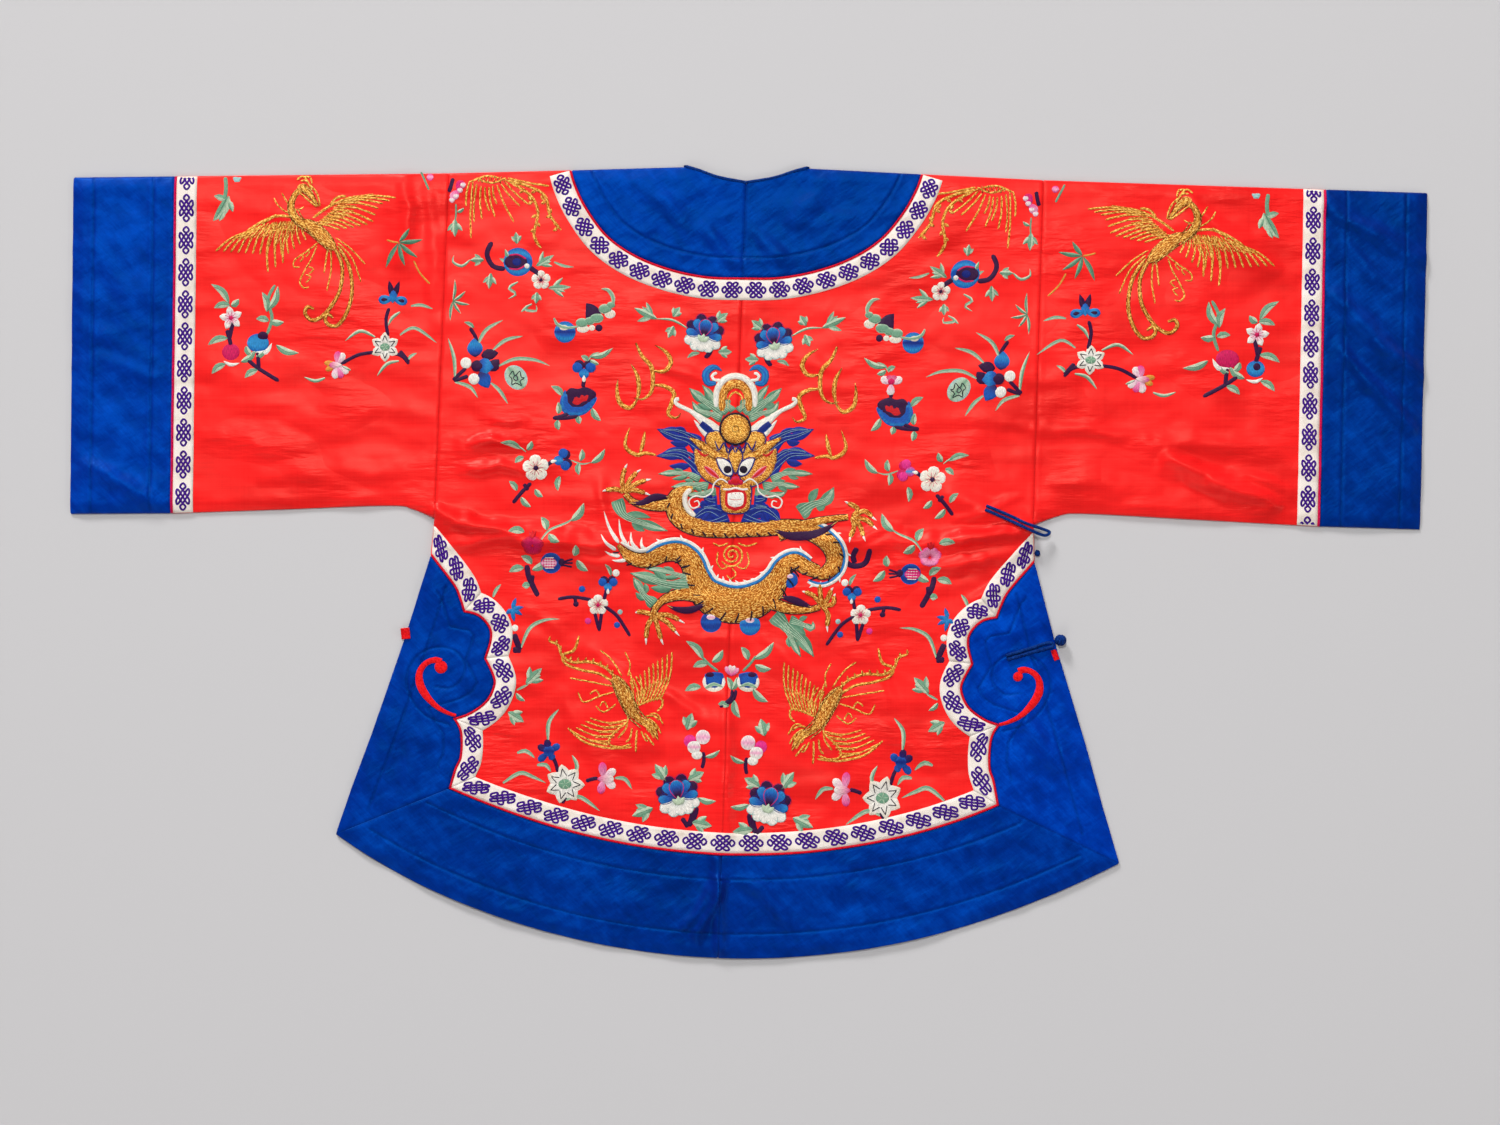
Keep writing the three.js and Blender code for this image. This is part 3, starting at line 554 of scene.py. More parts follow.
def shell(flat, faces, top, thickness):  # closed cloth: its top, its underside and the cut edge between them
    count = len(flat)
    points = np.vstack([np.column_stack([flat, top]), np.column_stack([flat, top - thickness])])
    turned = signedArea(flat[faces[0]]) < 0
    upper = faces[:, ::-1] if turned else faces
    sides = np.vstack([upper[:, [0, 1]], upper[:, [1, 2]], upper[:, [2, 0]]])
    known = {(a, b) for a, b in sides.tolist()}
    rim = np.array([(a, b) for a, b in known if (b, a) not in known])
    walls = [(a + count, b + count, b, a) for a, b in rim]
    return points, [*upper.tolist(), *(upper[:, ::-1] + count).tolist(), *walls]


def joined(parts):
    points, faces, start = [], [], 0
    for p, f in parts:
        points.append(p)
        faces += [tuple(i + start for i in face) for face in f]
        start += len(p)
    return np.vstack(points), faces


def pressed(away):  # how far the back sinks towards an edge
    return (cloth["restHeight"] - cloth["edgeHeight"]) * (1 - smoothStep(away / cloth["edgeReach"]))


def rolled(away):  # from 0 in the cloth to 1 on the rounded fold
    return 1 - np.sqrt(np.maximum(0, 1 - np.maximum(0, 1 - away / relief["rollWidth"]) ** 2))


def backTop(flat, seams=(), opens=(), folds=(), lines=()):
    top = clothHeight(flat)
    for line in seams:  # sewn edges sink a little and puff up beside the seam
        away = awayFrom(flat, line)
        top -= relief["seamDepth"] * np.exp(-(away / relief["seamWidth"]) ** 2)
        top += relief["seamPuff"] * np.exp(-((away - 3.4) / 1.8) ** 2)
    for line in lines:  # so do stitched lines
        away = awayFrom(flat, line)
        top -= relief["lineDepth"] * np.exp(-(away / relief["lineWidth"]) ** 2)
        top += relief["linePuff"] * np.exp(-((away - 2.6) / 1.6) ** 2)
    for line in opens:  # open edges lie pressed on the front, with a rounded rim
        away = awayFrom(flat, line)
        top -= pressed(away) + relief["rimDrop"] * np.maximum(0, 1 - away / relief["rimWidth"]) ** 2
    for line in folds:  # a folded edge rolls over to the front
        away = awayFrom(flat, line)
        roll = rolled(away)
        top = (top - pressed(away)) * (1 - roll) + cloth["foldHeight"] * 0.7 * roll
    return top


def frontTop(flat, folds=(), base=0.0):
    top = np.full(len(flat), base + cloth["wall"])
    for line in folds:
        roll = rolled(awayFrom(flat, line))
        top = top * (1 - roll) + (cloth["foldHeight"] * 0.7 + 0.2) * roll
    return top


def toneShift(points, seams, stitched=(),
         paintedLightLevel=1.0):  # painted shade: colour darkened in the grooves of the back's seams and stitched lines, times the piece's painted light level
    shade = np.full(len(points), paintedLightLevel)
    back = points[:, 2] > cloth["foldHeight"]
    for lines, depth in ((seams, 0.18), (stitched, 0.32)):
        for line in lines:
            shade[back] *= 1 - depth * np.exp(-(awayFrom(points[back, :2], line) / relief["seamWidth"]) ** 2)
    return np.repeat(shade[:, None], 3, axis=1)


def backShell(outline, lines=(), **edges):
    flat, faces = triangulate(insideSeams(outline, -0.03), cloth["spacing"], lines)
    return shell(flat, faces, backTop(flat, lines=lines, **edges), cloth["wall"])


def frontShell(outline, folds=(), base=0.0):
    flat, faces = triangulate(insideSeams(outline), 9)
    return shell(flat, faces, frontTop(flat, folds, base), cloth["wall"])


def asCloth(piece, cut, area):
    area / 1e6


def areaOf(*outlines):
    return sum(abs(signedArea(outline)) for outline in outlines)


def clothPiece(name, finish, parts, area, seams, stitched=()):
    points, faces = joined(parts)
    # colours: painted shade in the seams and stitched lines, times the piece's painted light level
    colours = toneShift(points, seams, stitched, paintedLightLevels.get(name, 1.0))
    cut = cuts[name] if name in cuts else cuts[name.split("_")[0]]
    asCloth(addPiece(name, points, faces, finish, [name], colours), cut, area)


cuts = {  # width and length of what shows of each sheet
    "body_left": (300, 1300), "body_right": (300, 1000), "front_lapel": (300, 490), "underlap": (370, 580),
    "sleeve": (266, 660), "cuff": (98, 650), "yoke": (170, 280), "side": (150, 280), "hem": (378, 155),
    "front_borders": (760, 380),
}
# Painted light and shade on each blue piece: how much lighter or darker its colour is made, standing in for
# the light and sheen that fall on it
paintedLightLevels = {"cuff_right": 0.68, "hem_left": 0.78, "hem_right": 0.84, "side_left": 0.86, "side_right": 1.2,
         "yoke_left": 0.92, "yoke_right": 0.76}

# The red body
centreSeam = laid([neckDip, (0, 100), (0, -100), (0, hem["low"])])
centreSeam = evenly(centreSeam, 20)
for side in halves:
    back = onSide(join(shoulder, skirtLine, yokeEdge), side)
    seams = [onSide(border, side), onSide(hemBandEdge, side), onSide(yokeEdge, side), centreSeam,
             onSide([sleeveSeamTop, underarm], side)]
    fold = [onSide(shoulder, side)]
    opens = [onSide([underarm, borderTop], side)]
    if side == "left":
        front = onSide(join(shoulder, skirtLine, frontYokeEdge), side)
    else:
        front = onSide(join(shoulder, lapelEdge[::-1], frontYokeEdge), side)
    parts = [backShell(back, seams=seams, folds=fold, opens=opens), frontShell(front, fold)]
    clothPiece(f"body_{side}", "satin", parts, areaOf(back, front), seams)
lapel = onSide(join(lapelEdge, border, hemBandEdge), "right")
asCloth(addPiece("front_lapel", *frontShell(lapel), "satin", ["front_lapel"]), cuts["front_lapel"],
        areaOf(lapel))
flapSide = join([(x - 5, y) for x, y in sideEdge[:-1]], [(hemCorner[0] - 5, hemCorner[1] + 5)])
flap = onSide(join(lapelEdge[:-3] + (0, 2.4), flapSide,
                   hemArc(hem["low"] + 5, hem["radius"], hemCorner[0] - 10, 60)[::-1]), "right")
asCloth(addPiece("underlap", *frontShell(flap, base=cloth["wall"] + cloth["gap"]), "satin", ["underlap"]),
        cuts["underlap"], areaOf(flap))
print("body made")

# Sleeves and cuffs, each a flattened tube
for side in halves:
    top, bottom = onSide([sleeveSeamTop, cuffSeamTop], side), onSide(sleeveBottom, side)
    outline = join(bottom, top[::-1])
    seams = [onSide([sleeveSeamTop, underarm], side), onSide([cuffSeamTop, cuffSeamBottom], side)]
    parts = [backShell(outline, seams=seams, folds=[top, bottom]), frontShell(outline, [top, bottom])]
    clothPiece(f"sleeve_{side}", "satin", parts, 2 * areaOf(outline), seams)
    top, bottom = onSide([cuffSeamTop, cuffTop], side), onSide([cuffSeamBottom, cuffBottom], side)
    outline = join(bottom, top[::-1])
    stitched = [onSide([(570, 361), (569, 42)], side), onSide([(627, 359.6), (625, 40.6)], side)]
    back = backShell(outline, stitched, seams=seams[1:], folds=[top, bottom],
                     opens=[onSide([cuffTop, cuffBottom], side)])
    parts = [back, frontShell(outline, [top, bottom])]
    clothPiece(f"cuff_{side}", "blueSilk", parts, 2 * areaOf(outline), seams[1:], stitched)
print("sleeves and cuffs made")

# The blue borders
frontBorders = []
for side in halves:
    boundEdge = lambda line: join(movedAside(line, trim["bindingWidth"])[:-1], [yokeCorner])
    backYoke = onSide(join(boundEdge(backNeck), yokeEdge[::-1]), side)
    atSeam = awayFrom(backYoke, centreSeam) < 0.4  # the yoke's halves overlap a little, so that no gap shows
    backYoke[atSeam, 0] += 0.5 if side == "left" else -0.5
    frontYoke = onSide(join(boundEdge(frontNeck), frontYokeEdge[::-1]), side)
    fold = [onSide([yokeCorner, yokeAtFold], side)]
    stitched = [onSide(movedAside(join(yokeEdge, [(170, 390)]), stitchLines["yoke"])[:-3], side)]
    seams = [onSide(yokeEdge, side), centreSeam]
    parts = [backShell(backYoke, stitched, seams=seams, folds=fold), frontShell(frontYoke, fold)]
    clothPiece(f"yoke_{side}", "blueSilk", parts, areaOf(backYoke, frontYoke), seams, stitched)

    sideOutline = onSide(join(sideEdge, border[::-1]), side)
    echo = join(*movedStretches(borderStretches[:4], stitchLines["sideSeam"]))
    besideEdge = movedAside(evenly(sideEdge, 12), stitchLines["sideEdge"])
    hemOutline = onSide(join(mitre, outerHem[::-1], hemBandEdge[::-1]), side)
    outerLine = hemArc(hem["bandLow"] + stitchLines["hemOuter"], 702, 338, 60)
    innerLine = hemArc(hem["bandLow"] + stitchLines["hemInner"], 664, 283, 60)
    opens = [onSide(evenly(sideEdge, 20), side)]
    roundCurl = curveThrough([(265, -158), (285, -151), (300, -137), (307.5, -117), (303, -99), (291, -88),
                              (276, -84), (261, -88), (252, -100), (254, -114), (265, -123), (278, -122)],
                             70)
    stitched = [onSide(besideEdge[2:-3], side), onSide(echo[6:-6], side), onSide(roundCurl, side)]
    seams = [onSide(border, side), onSide(mitre, side)]
    parts = [backShell(sideOutline, stitched, seams=seams, opens=opens)]
    clothPiece(f"side_{side}", "blueSilk", parts, areaOf(sideOutline), seams, stitched)
    stitched = [onSide(outerLine, side), onSide(innerLine, side)]
    seams = [onSide(hemBandEdge, side), onSide(mitre, side), centreSeam]
    parts = [backShell(hemOutline, stitched, seams=seams, opens=[onSide(outerHem, side)])]
    clothPiece(f"hem_{side}", "blueSilk", parts, areaOf(hemOutline), seams, stitched)
    frontBorders += [frontShell(sideOutline), frontShell(hemOutline)]
    if side == "left":
        frontArea = 2 * areaOf(sideOutline, hemOutline)
fronts = addPiece("front_borders", *joined(frontBorders), "blueSilk",
                  ["front_side_left", "front_side_right", "front_hem_left", "front_hem_right"])
asCloth(fronts, cuts["front_borders"], frontArea)
print("blue borders made")


# What lies on the back: strips along its seams
def mirrored(line):
    return np.array(line, float) * (-1, 1)


def wholeLine(half):
    return join(mirrored(half)[::-1], np.array(half, float)[1:])


def stripShell(near, far, rounded=0.0):  # a strip between two lines of as many points each
    thickness = trim["stripThickness"]
    across = np.linspace(0, 1, 7)
    rows = [near * (1 - t) + far * t for t in across]
    flat = np.vstack(rows)
    count = len(near)
    faces = []
    for j in range(len(across) - 1):
        for i in range(count - 1):
            a = j * count + i
            faces += [(a, a + 1, a + count + 1), (a, a + count + 1, a + count)]
    crown = np.repeat(1 - (2 * across - 1) ** 2, count)
    drop = 0.3 if rounded == 0 else 0.6  # at its two edges
    rim = np.repeat(np.where((across == 0) | (across == 1), drop, 0.0), count)
    top = backSurface(flat) + cloth["gap"] * 0.3 + thickness + rounded * crown - rim
    return shell(flat, np.array(faces), top, thickness * 0.9)


edgeLines = {
    "fold": [onSide(join([yokeCorner], shoulder, [cuffSeamTop, cuffTop]), s) for s in halves],
    "low": [onSide(join(sleeveBottom, [cuffBottom]), s) for s in halves],
    "open": [onSide(join([underarm], evenly(sideEdge, 20), outerHem[::-1]), s) for s in halves],
}


def backSurface(flat):  # the back's top, with its edges, for what lies on it
    return backTop(flat, folds=edgeLines["fold"] + edgeLines["low"], opens=edgeLines["open"])


neckSeam = wholeLine(join(yokeEdge, [(168.5, 378), (170, 384)]))
yokeFold = [onSide(join([yokeCorner], shoulder), s) for s in halves]


def neckStrip(near, far):
    lines = []
    for by in (near, far):
        line = laid(movedAside(neckSeam, by))
        left, right = (np.interp(line[:, 0], *fold[np.argsort(fold[:, 0])].T) for fold in yokeFold)
        foldY = np.where(line[:, 0] < 0, left, right)
        lines.append(line[line[:, 1] < foldY - 0.3])
    count = int(lengthsTo(lines[0])[-1] / trim["step"])
    return resampled(lines[0], count), resampled(lines[1], count)


pastSide = (311, 28)
ribbonStretches = [join([pastSide], borderStretches[0]), *borderStretches[1:]]


def cutAtSide(line, side):  # the ribbon starts at the side edge of the body
    edge = onSide([underarm, borderTop], side)
    edgeX = np.interp(line[:, 1], edge[::-1, 1], edge[::-1, 0])
    keep = line[:, 0] > edgeX + 0.2 if side == "left" else line[:, 0] < edgeX - 0.2
    return line[keep]


def sideStrips(near, far, side):
    nearLines, farLines = (movedStretches(ribbonStretches, by) for by in (near, far))
    pairs = []
    for k in range(4):
        a, b = onSide(nearLines[k], side), onSide(farLines[k], side)
        if k == 0:
            a, b = cutAtSide(evenly(a, 1.0), side), cutAtSide(evenly(b, 1.0), side)
        count = max(4, int(lengthsTo(a)[-1] / trim["step"]))
        pairs.append((resampled(a, count), resampled(b, count)))
    return pairs


def hemStrip(near, far):
    lines = []
    for by in (near, far):
        half = movedStretches(ribbonStretches, by)[4]
        half[-1, 0] = 0
        lines.append(laid(join(half, mirrored(half)[::-1][1:])))
    count = int(lengthsTo(lines[0])[-1] / trim["step"])
    return resampled(lines[0], count), resampled(lines[1], count)


def cuffStrip(near, far, side):
    lines = []
    for by in (near, far):
        x = cuffSeamTop[0] - by
        topY = np.interp(x, *np.transpose([sleeveSeamTop, cuffSeamTop])) - 0.3
        bottomY = np.interp(x, sleeveBottom[:, 0], sleeveBottom[:, 1]) + 0.3
        lines.append(onSide([(x, topY), (x - 1, bottomY)], side))
    count = int(322 / trim["step"])  # the cuff is 322 deep
    return resampled(lines[0], count), resampled(lines[1], count)


ribbonNear, ribbonFar = trim["pipingWidth"] + 0.15, trim["ribbonWidth"]
ribbons = {
    "neck_ribbon": [neckStrip(ribbonNear, ribbonFar)],
    "hem_ribbon": [hemStrip(ribbonNear, ribbonFar)],
    **{f"side_ribbon_{s}": sideStrips(ribbonNear, ribbonFar, s) for s in halves},
    **{f"cuff_ribbon_{s}": [cuffStrip(ribbonNear, ribbonFar, s)] for s in halves},
}
for name, pairs in ribbons.items():
    strip = addPiece(name, *joined([stripShell(a, b) for a, b in pairs]), "ribbon", [name])
    long = sum(lengthsTo((a + b) / 2)[-1] for a, b in pairs)
    asCloth(strip, (ribbonFar - ribbonNear, long), long * (ribbonFar - ribbonNear))
rolls = (0.1, 1.9)  # the red piping's edges, from the seam
red = [neckStrip(*rolls), hemStrip(*rolls), *sideStrips(*rolls, "left"), *sideStrips(*rolls, "right")]
addPiece("red_piping", *joined([stripShell(a, b, 0.5) for a, b in red]), "piping",
         ["neck_piping", "hem_piping", "side_piping_left", "side_piping_right"])
pink = [cuffStrip(-0.2, 1.9, "left"), cuffStrip(-0.2, 1.9, "right")]
addPiece("cuff_piping", *joined([stripShell(a, b, 0.5) for a, b in pink]), "cuffPiping",
         ["cuff_piping_left", "cuff_piping_right"])
print("ribbons and piping made")


def tube(path, radius, sides=8, closed=False):
    p = np.array(path, float)
    d = np.gradient(p, axis=0)
    if closed:
        d = np.roll(p, -1, axis=0) - np.roll(p, 1, axis=0)
    d /= np.linalg.norm(d, axis=1)[:, None]
    side = np.cross(d, (0, 0, 1))
    side /= np.maximum(np.linalg.norm(side, axis=1), 1e-6)[:, None]
    up = np.cross(side, d)
    radii = np.broadcast_to(radius, len(p))
    rings = []
    for k in range(sides):
        w = 2 * math.pi * k / sides
        rings.append(p + (side * math.cos(w) + up * math.sin(w)) * radii[:, None])
    points = np.stack(rings, axis=1).reshape(-1, 3)
    count, faces = len(p), []
    for i in range(count if closed else count - 1):
        for k in range(sides):
            n, m = (i + 1) % count, (k + 1) % sides
            faces.append((i * sides + k, i * sides + m, n * sides + m, n * sides + k))
    if not closed:
        faces.append(tuple(range(sides)))
        faces.append(tuple(reversed(range((count - 1) * sides, count * sides))))
    return points, faces


# The neck binding, cords, knots and bars
bindingLine = laid(movedAside(wholeLine(backNeck), 1.3))
bindingZ = backSurface(laid(movedAside(wholeLine(backNeck), 6))) - 0.5
frontLine = laid(movedAside(wholeLine(frontNeck), 1.3))
parts = [tube(np.column_stack([bindingLine, bindingZ]), 1.4, 8),
         tube(np.column_stack([frontLine, np.full(len(frontLine), 1.35)]), 1.3, 8)]
addPiece("neck_binding", *joined(parts), "binding", ["neck_binding"])

bars = []
for x, y, width, length, turn in ((-328, -68.6, 8.4, 10.4, 0.1), (292.6, -89.2, 5, 10, 0.35)):
    for k in range(9):
        v = (k / 8 - 0.5) * (length - 1.2)
        ends = [(-width / 2, v), (0, v + 0.2), (width / 2, v)]
        turned = [(x + a * math.cos(turn) - b * math.sin(turn), y + a * math.sin(turn) + b * math.cos(turn))
                  for a, b in ends]
        level = backSurface(np.array(turned)).max() + 0.5
        bars.append(tube([(a, b, level + (0.35 if i == 1 else 0)) for i, (a, b) in enumerate(turned)], 0.75,
                         6))
addPiece("bartacks", *joined(bars), "redCord", ["bartack_left", "bartack_right"])

loops = {"loop_top": [(226.6, 53.4, 0), (250, 43.4, 1.6), (264.5, 36.4, 3), (279, 31.6, 1), (287, 28.2, 0.4),
                      (281, 25.2, 0.6), (263.6, 32.2, 3), (248.8, 39.4, 1.6), (225.4, 49.6, 0)],
         "loop_side": [(245.4, -89.6, 0), (268, -82.9, 0), (284.5, -77.6, 0.2), (290.6, -78.9, 0.5),
                       (286, -82.2, 0.2), (269.2, -86.7, 0), (246.6, -93.4, 0)]}
for name, rows in loops.items():
    rows = np.array(rows, float)
    flat = curveThrough(rows[:, :2], 90)
    lift = curveThrough(np.column_stack([np.arange(len(rows)), rows[:, 2]]), 90)[:, 1]
    base = np.maximum(clothHeight(flat), cloth["restHeight"])
    middle = np.column_stack([flat, base + cloth["gap"] + trim["cordDiameter"] / 2 + lift])
    addPiece(name, *tube(middle, trim["cordDiameter"] / 2, 10), "binding", [name])


def knotButton(centre, radii):  # a cord wound over a ball in rounds that cross
    parts, turns = [], 5
    for k in range(turns):
        tilt = math.pi * k / turns
        w = np.linspace(0, 2 * math.pi, 33)[:-1]
        ring = np.column_stack([np.cos(w), np.sin(w) * math.cos(tilt * 0.8 + 0.5),
                                np.sin(w) * math.sin(tilt * 0.8 + 0.5)])
        spin = np.array([[math.cos(tilt), -math.sin(tilt), 0], [math.sin(tilt), math.cos(tilt), 0],
                         [0, 0, 1]])
        parts.append(tube((ring @ spin.T) * (np.array(radii) * 0.78) + centre, 0.24 * min(radii) + 0.25, 8,
                          True))
    w, v = np.meshgrid(np.linspace(0, 2 * math.pi, 17)[:-1], np.linspace(0.15, math.pi - 0.15, 9))
    core = np.column_stack([(np.cos(w) * np.sin(v)).ravel(), (np.sin(w) * np.sin(v)).ravel(),
                            np.cos(v).ravel()])
    faces = [(j * 16 + i, j * 16 + (i + 1) % 16, (j + 1) * 16 + (i + 1) % 16, (j + 1) * 16 + i)
             for j in range(8) for i in range(16)]
    faces += [tuple(range(16))[::-1], tuple(range(128, 144))]
    parts.append((core * (np.array(radii) * 0.8) + centre, faces))
    return joined(parts)


addPiece("button_side", *knotButton((297.6, -75, 6.4), (5.4, 5.4, 5.4)), "binding", ["button_side"])
addPiece("button_top", *knotButton((275.8, 8.1, 3.2), (2.4, 3.2, 3.0)), "binding", ["button_top"])
print("fastenings made")

# Embroidery. The motifs are drawn here in the picture's pixels, from a spine and a width each.
stitch = {"lift": 0.14, "unit": 0.955}  # the stitches' height over the cloth, and a pixel in their UV map
hues = {
    "leaf": (118, 164, 134), "paleLeaf": (196, 214, 184), "deepLeaf": (88, 136, 108),
    "mist": (160, 200, 196), "plum": (54, 12, 62), "navy": (18, 34, 122), "mane": (24, 46, 150),
    "blue": (22, 86, 178), "sky": (44, 142, 204), "white": (246, 240, 230), "cream": (236, 220, 196),
    "pink": (236, 52, 142), "palePink": (248, 170, 204), "rose": (214, 22, 92), "ink": (28, 16, 40),
    "red": (216, 24, 34), "gold": (206, 122, 40), "lightGold": (248, 188, 82), "darkGold": (122, 66, 22),
    "straw": (230, 152, 62),
}
profiles = {
    "leaf": lambda t: np.sin(math.pi * t ** 0.85) ** 0.85,
    "petal": lambda t: np.sin(math.pi * t ** 1.5) ** 0.5,
    "oval": lambda t: np.sqrt(np.maximum(0, 1 - (2 * t - 1) ** 2)),
    "stem": lambda t: np.minimum(1, 12 * np.minimum(t + 0.02, 1.02 - t)) ** 0.5,
    "taper": lambda t: np.sqrt(np.minimum(1, 9 * t + 0.05)) * (1 - t) ** 0.6,
    "grass": lambda t: np.sin(math.pi * (0.1 + 0.9 * t)) ** 0.7,
    "flame": lambda t: (0.55 + 0.45 * np.sin(9 * t + 1)) * (1 - t) ** 0.45 + 0.25 * np.sin(math.pi * t),
}


# Painted light on gold: the edges tints that run from a lighter gold in the middle to a darker one at the
# edges are a painted highlight down each shape and painted shade towards its sides
goldRound, goldCord = ("edges", "lightGold", "gold", "darkGold"), ("edges", "lightGold", "straw", "gold")
greenLeaf, whiteRound = ("sides", "leaf", "paleLeaf"), ("edges", "white", "white", "cream")


def profile(shape, t):  # a named width along the spine, or a list of widths
    return profiles[shape](t) if isinstance(shape,
                                            str) else np.interp(t, np.linspace(0, 1, len(shape)), shape)


class Stitching:
    # Gathers the stitched shapes of one piece; twin moves them to the mirrored half

    def __init__(self, twin=None):
        self.twin, self.points, self.colours, self.uvs, self.faces = twin, [], [], [], []
        self.count = 0

    def toCloth(self, p):
        flat = np.column_stack(place(p[:, 0], p[:, 1]))
        if self.twin is None:
            return flat
        q = flat.copy()
        for _ in range(6):  # find the place before it was laid, to mirror that
            q -= laid(q) - flat
        return laid(q * (-1, 1)) + np.array(self.twin) * (picture["pixel"], -picture["pixel"])

    def patch(self, drawn, heights, colours, uvs, faces):
        flat = self.toCloth(drawn)
        faces = np.array(faces)
        a, b, c = (flat[faces[:, k]] for k in range(3))
        turned = np.cross(b - a, c - a).sum() < 0 if len(faces) else False
        self.points.append(np.column_stack([flat, np.broadcast_to(heights, len(flat))]))
        self.colours.append(colours)
        self.uvs.append(uvs)
        self.faces += [tuple(f) for f in ((faces[:, ::-1] if turned else faces) + self.count).tolist()]
        self.count += len(flat)

    def blade(self, path, width, colour, shape="leaf", rise=0.55, level=0.0, run="along", rows=6, step=2.0):
        path = spots(path)
        line = evenly(curveThrough(path, 12 * (len(path) - 1)) if len(path) > 2 else path, 0.5)
        long = 0.5 * (len(line) - 1)
        n = max(6, int(long / step))
        t = (1 - np.cos(np.linspace(0.02, math.pi - 0.02, n))) / 2
        line = np.column_stack([np.interp(t, np.linspace(0, 1, len(line)), line[:, k]) for k in range(2)])
        half = np.maximum(width * profile(shape, t), 0.04)
        s = np.linspace(-1, 1, rows + 1)
        normal = normalsOf(line)
        grid = line[:, None] + normal[:, None] * (half[:, None] * s[None])[..., None]
        along, aside, wide = np.repeat(t, rows + 1), np.tile(s, n), np.repeat(half, rows + 1)
        domed = np.sqrt(np.maximum(0, 1 - aside ** 2)) * np.minimum(1, 0.25 + wide / 2.5)
        u, v = along * long * stitch["unit"], aside * wide * stitch["unit"]
        if run == "across":
            u, v = v, u
        elif run == "vein":
            u, v = 0.7 * (u + abs(v)), 0.7 * (u - abs(v))
        a = (np.arange(n - 1)[:, None] * (rows + 1) + np.arange(rows)[None]).ravel()
        faces = np.vstack([np.column_stack([a, a + 1, a + rows + 2]),
                           np.column_stack([a, a + rows + 2, a + rows + 1])])
        self.patch(grid.reshape(-1, 2), stitch["lift"] + level + rise * domed, tint(colour, along, aside),
                   np.column_stack([u + self.count, v]), faces)

    def line(self, path, width=0.8, colour="ink", rise=0.4, level=0.35, rows=3, step=1.6):
        self.blade(path, width, colour, "stem", rise, level, rows=rows, step=step)

    def dot(self, centre, radius, colour, rise=0.6, level=0.0, stretch=1.0):
        x, y = centre
        self.blade([(x - radius, y), (x + radius, y)], radius * stretch, colour, "oval", rise, level,
                   "across", step=max(0.9, radius / 6))

    def fill(self, outline, colour, rise=0.7, level=0.0, edge=3.0):
        spacing = 2.4
        outline = spots(outline)
        ring = curveThrough(join(outline, outline[:1]), 8 * len(outline))
        ring = evenly(ring, spacing * 0.7)[:-1]
        low, high = ring.min(axis=0), ring.max(axis=0)
        gx, gy = np.meshgrid(np.arange(low[0], high[0], spacing), np.arange(low[1], high[1], spacing))
        grid = np.column_stack([gx.ravel(), gy.ravel()])
        grid = grid[inside(grid, ring)]
        around = join(ring, ring[:1])
        grid = grid[awayFrom(grid, around) > spacing * 0.45] if len(grid) else grid
        made = geometry.delaunay_2d_cdt([Vector(p) for p in join(ring, grid)], [], [list(range(len(ring)))],
                                        1, 1e-5)
        flat = np.array([tuple(v) for v in made[0]])
        away = np.minimum(1, awayFrom(flat, around) / edge)
        heights = stitch["lift"] + level + rise * np.sqrt(1 - (1 - away) ** 2)
        turned = (flat - flat.mean(axis=0)) @ np.array([[0.8, -0.6], [0.6, 0.8]])
        self.patch(flat, heights, tint(colour, 1 - away, 1 - away), turned,
                   [f for f in made[2] if len(f) == 3])

    def done(self, name, finish="thread", nodes=()):
        points = np.vstack(self.points)
        points[:, 2] += backSurface(points[:, :2])
        addPiece(name, points, self.faces, finish, nodes, np.vstack(self.colours), np.vstack(self.uvs))


def tint(colour, along,
         aside):  # one hue, hues along the shape, of its two sides or from its middle to its edges
    if isinstance(colour, str):
        return np.tile(linear(*hues[colour]), (len(along), 1))
    if colour[0] == "sides":
        first, second = (np.array(linear(*hues[c])) for c in colour[1:])
        mix = smoothStep(0.5 + aside * 2.5)[:, None]
        return first * (1 - mix) + second * mix
    stops = np.array([linear(*hues[c]) for c in colour[1:]])
    at = abs(aside) if colour[0] == "edges" else along
    return np.column_stack([np.interp(at, np.linspace(0, 1, len(stops)), stops[:, k]) for k in range(3)])


def polar(centre, angle, distance):
    w = math.radians(angle)
    return centre[0] + distance * math.cos(w), centre[1] + distance * math.sin(w)


def leaf(pen, base, tip, width=3.2, bend=0.12, green=greenLeaf):
    (x1, y1), (x2, y2) = base, tip
    middle = ((x1 + x2) / 2 - (y2 - y1) * bend, (y1 + y2) / 2 + (x2 - x1) * bend)
    pen.blade([base, middle, tip], width, green, "leaf", run="vein")
    pen.line([base, middle, (x2 * 0.85 + x1 * 0.15, y2 * 0.85 + y1 * 0.15)], 0.32, "deepLeaf", 0.2, 0.62)


def lobedLeaf(pen, base, tip, width=3.0):
    (x1, y1), (x2, y2) = base, tip
    dx, dy = x2 - x1, y2 - y1
    for along, side, reach in ((0.2, 1, 0.62), (0.2, -1, 0.62), (0.1, 0.45, 0.85)):
        root = (x1 + dx * along, y1 + dy * along)
        end = (root[0] + dx * reach * 0.75 - dy * side * 0.42, root[1] + dy * reach * 0.75 + dx * side * 0.42)
        pen.blade([root, end], width * 0.72, greenLeaf, "leaf", run="vein")
    pen.blade([base, tip], width, ("sides", "paleLeaf", "leaf"), "leaf", run="vein", level=0.15)
    pen.line([base, (x1 + dx * 0.8, y1 + dy * 0.8)], 0.32, "deepLeaf", 0.2, 0.75)


def petal(pen, centre, angle, start, end, width, colour, level=0.0, shape="petal"):
    pen.blade([polar(centre, angle, start), polar(centre, angle, end)], width, colour, shape, 0.7, level)


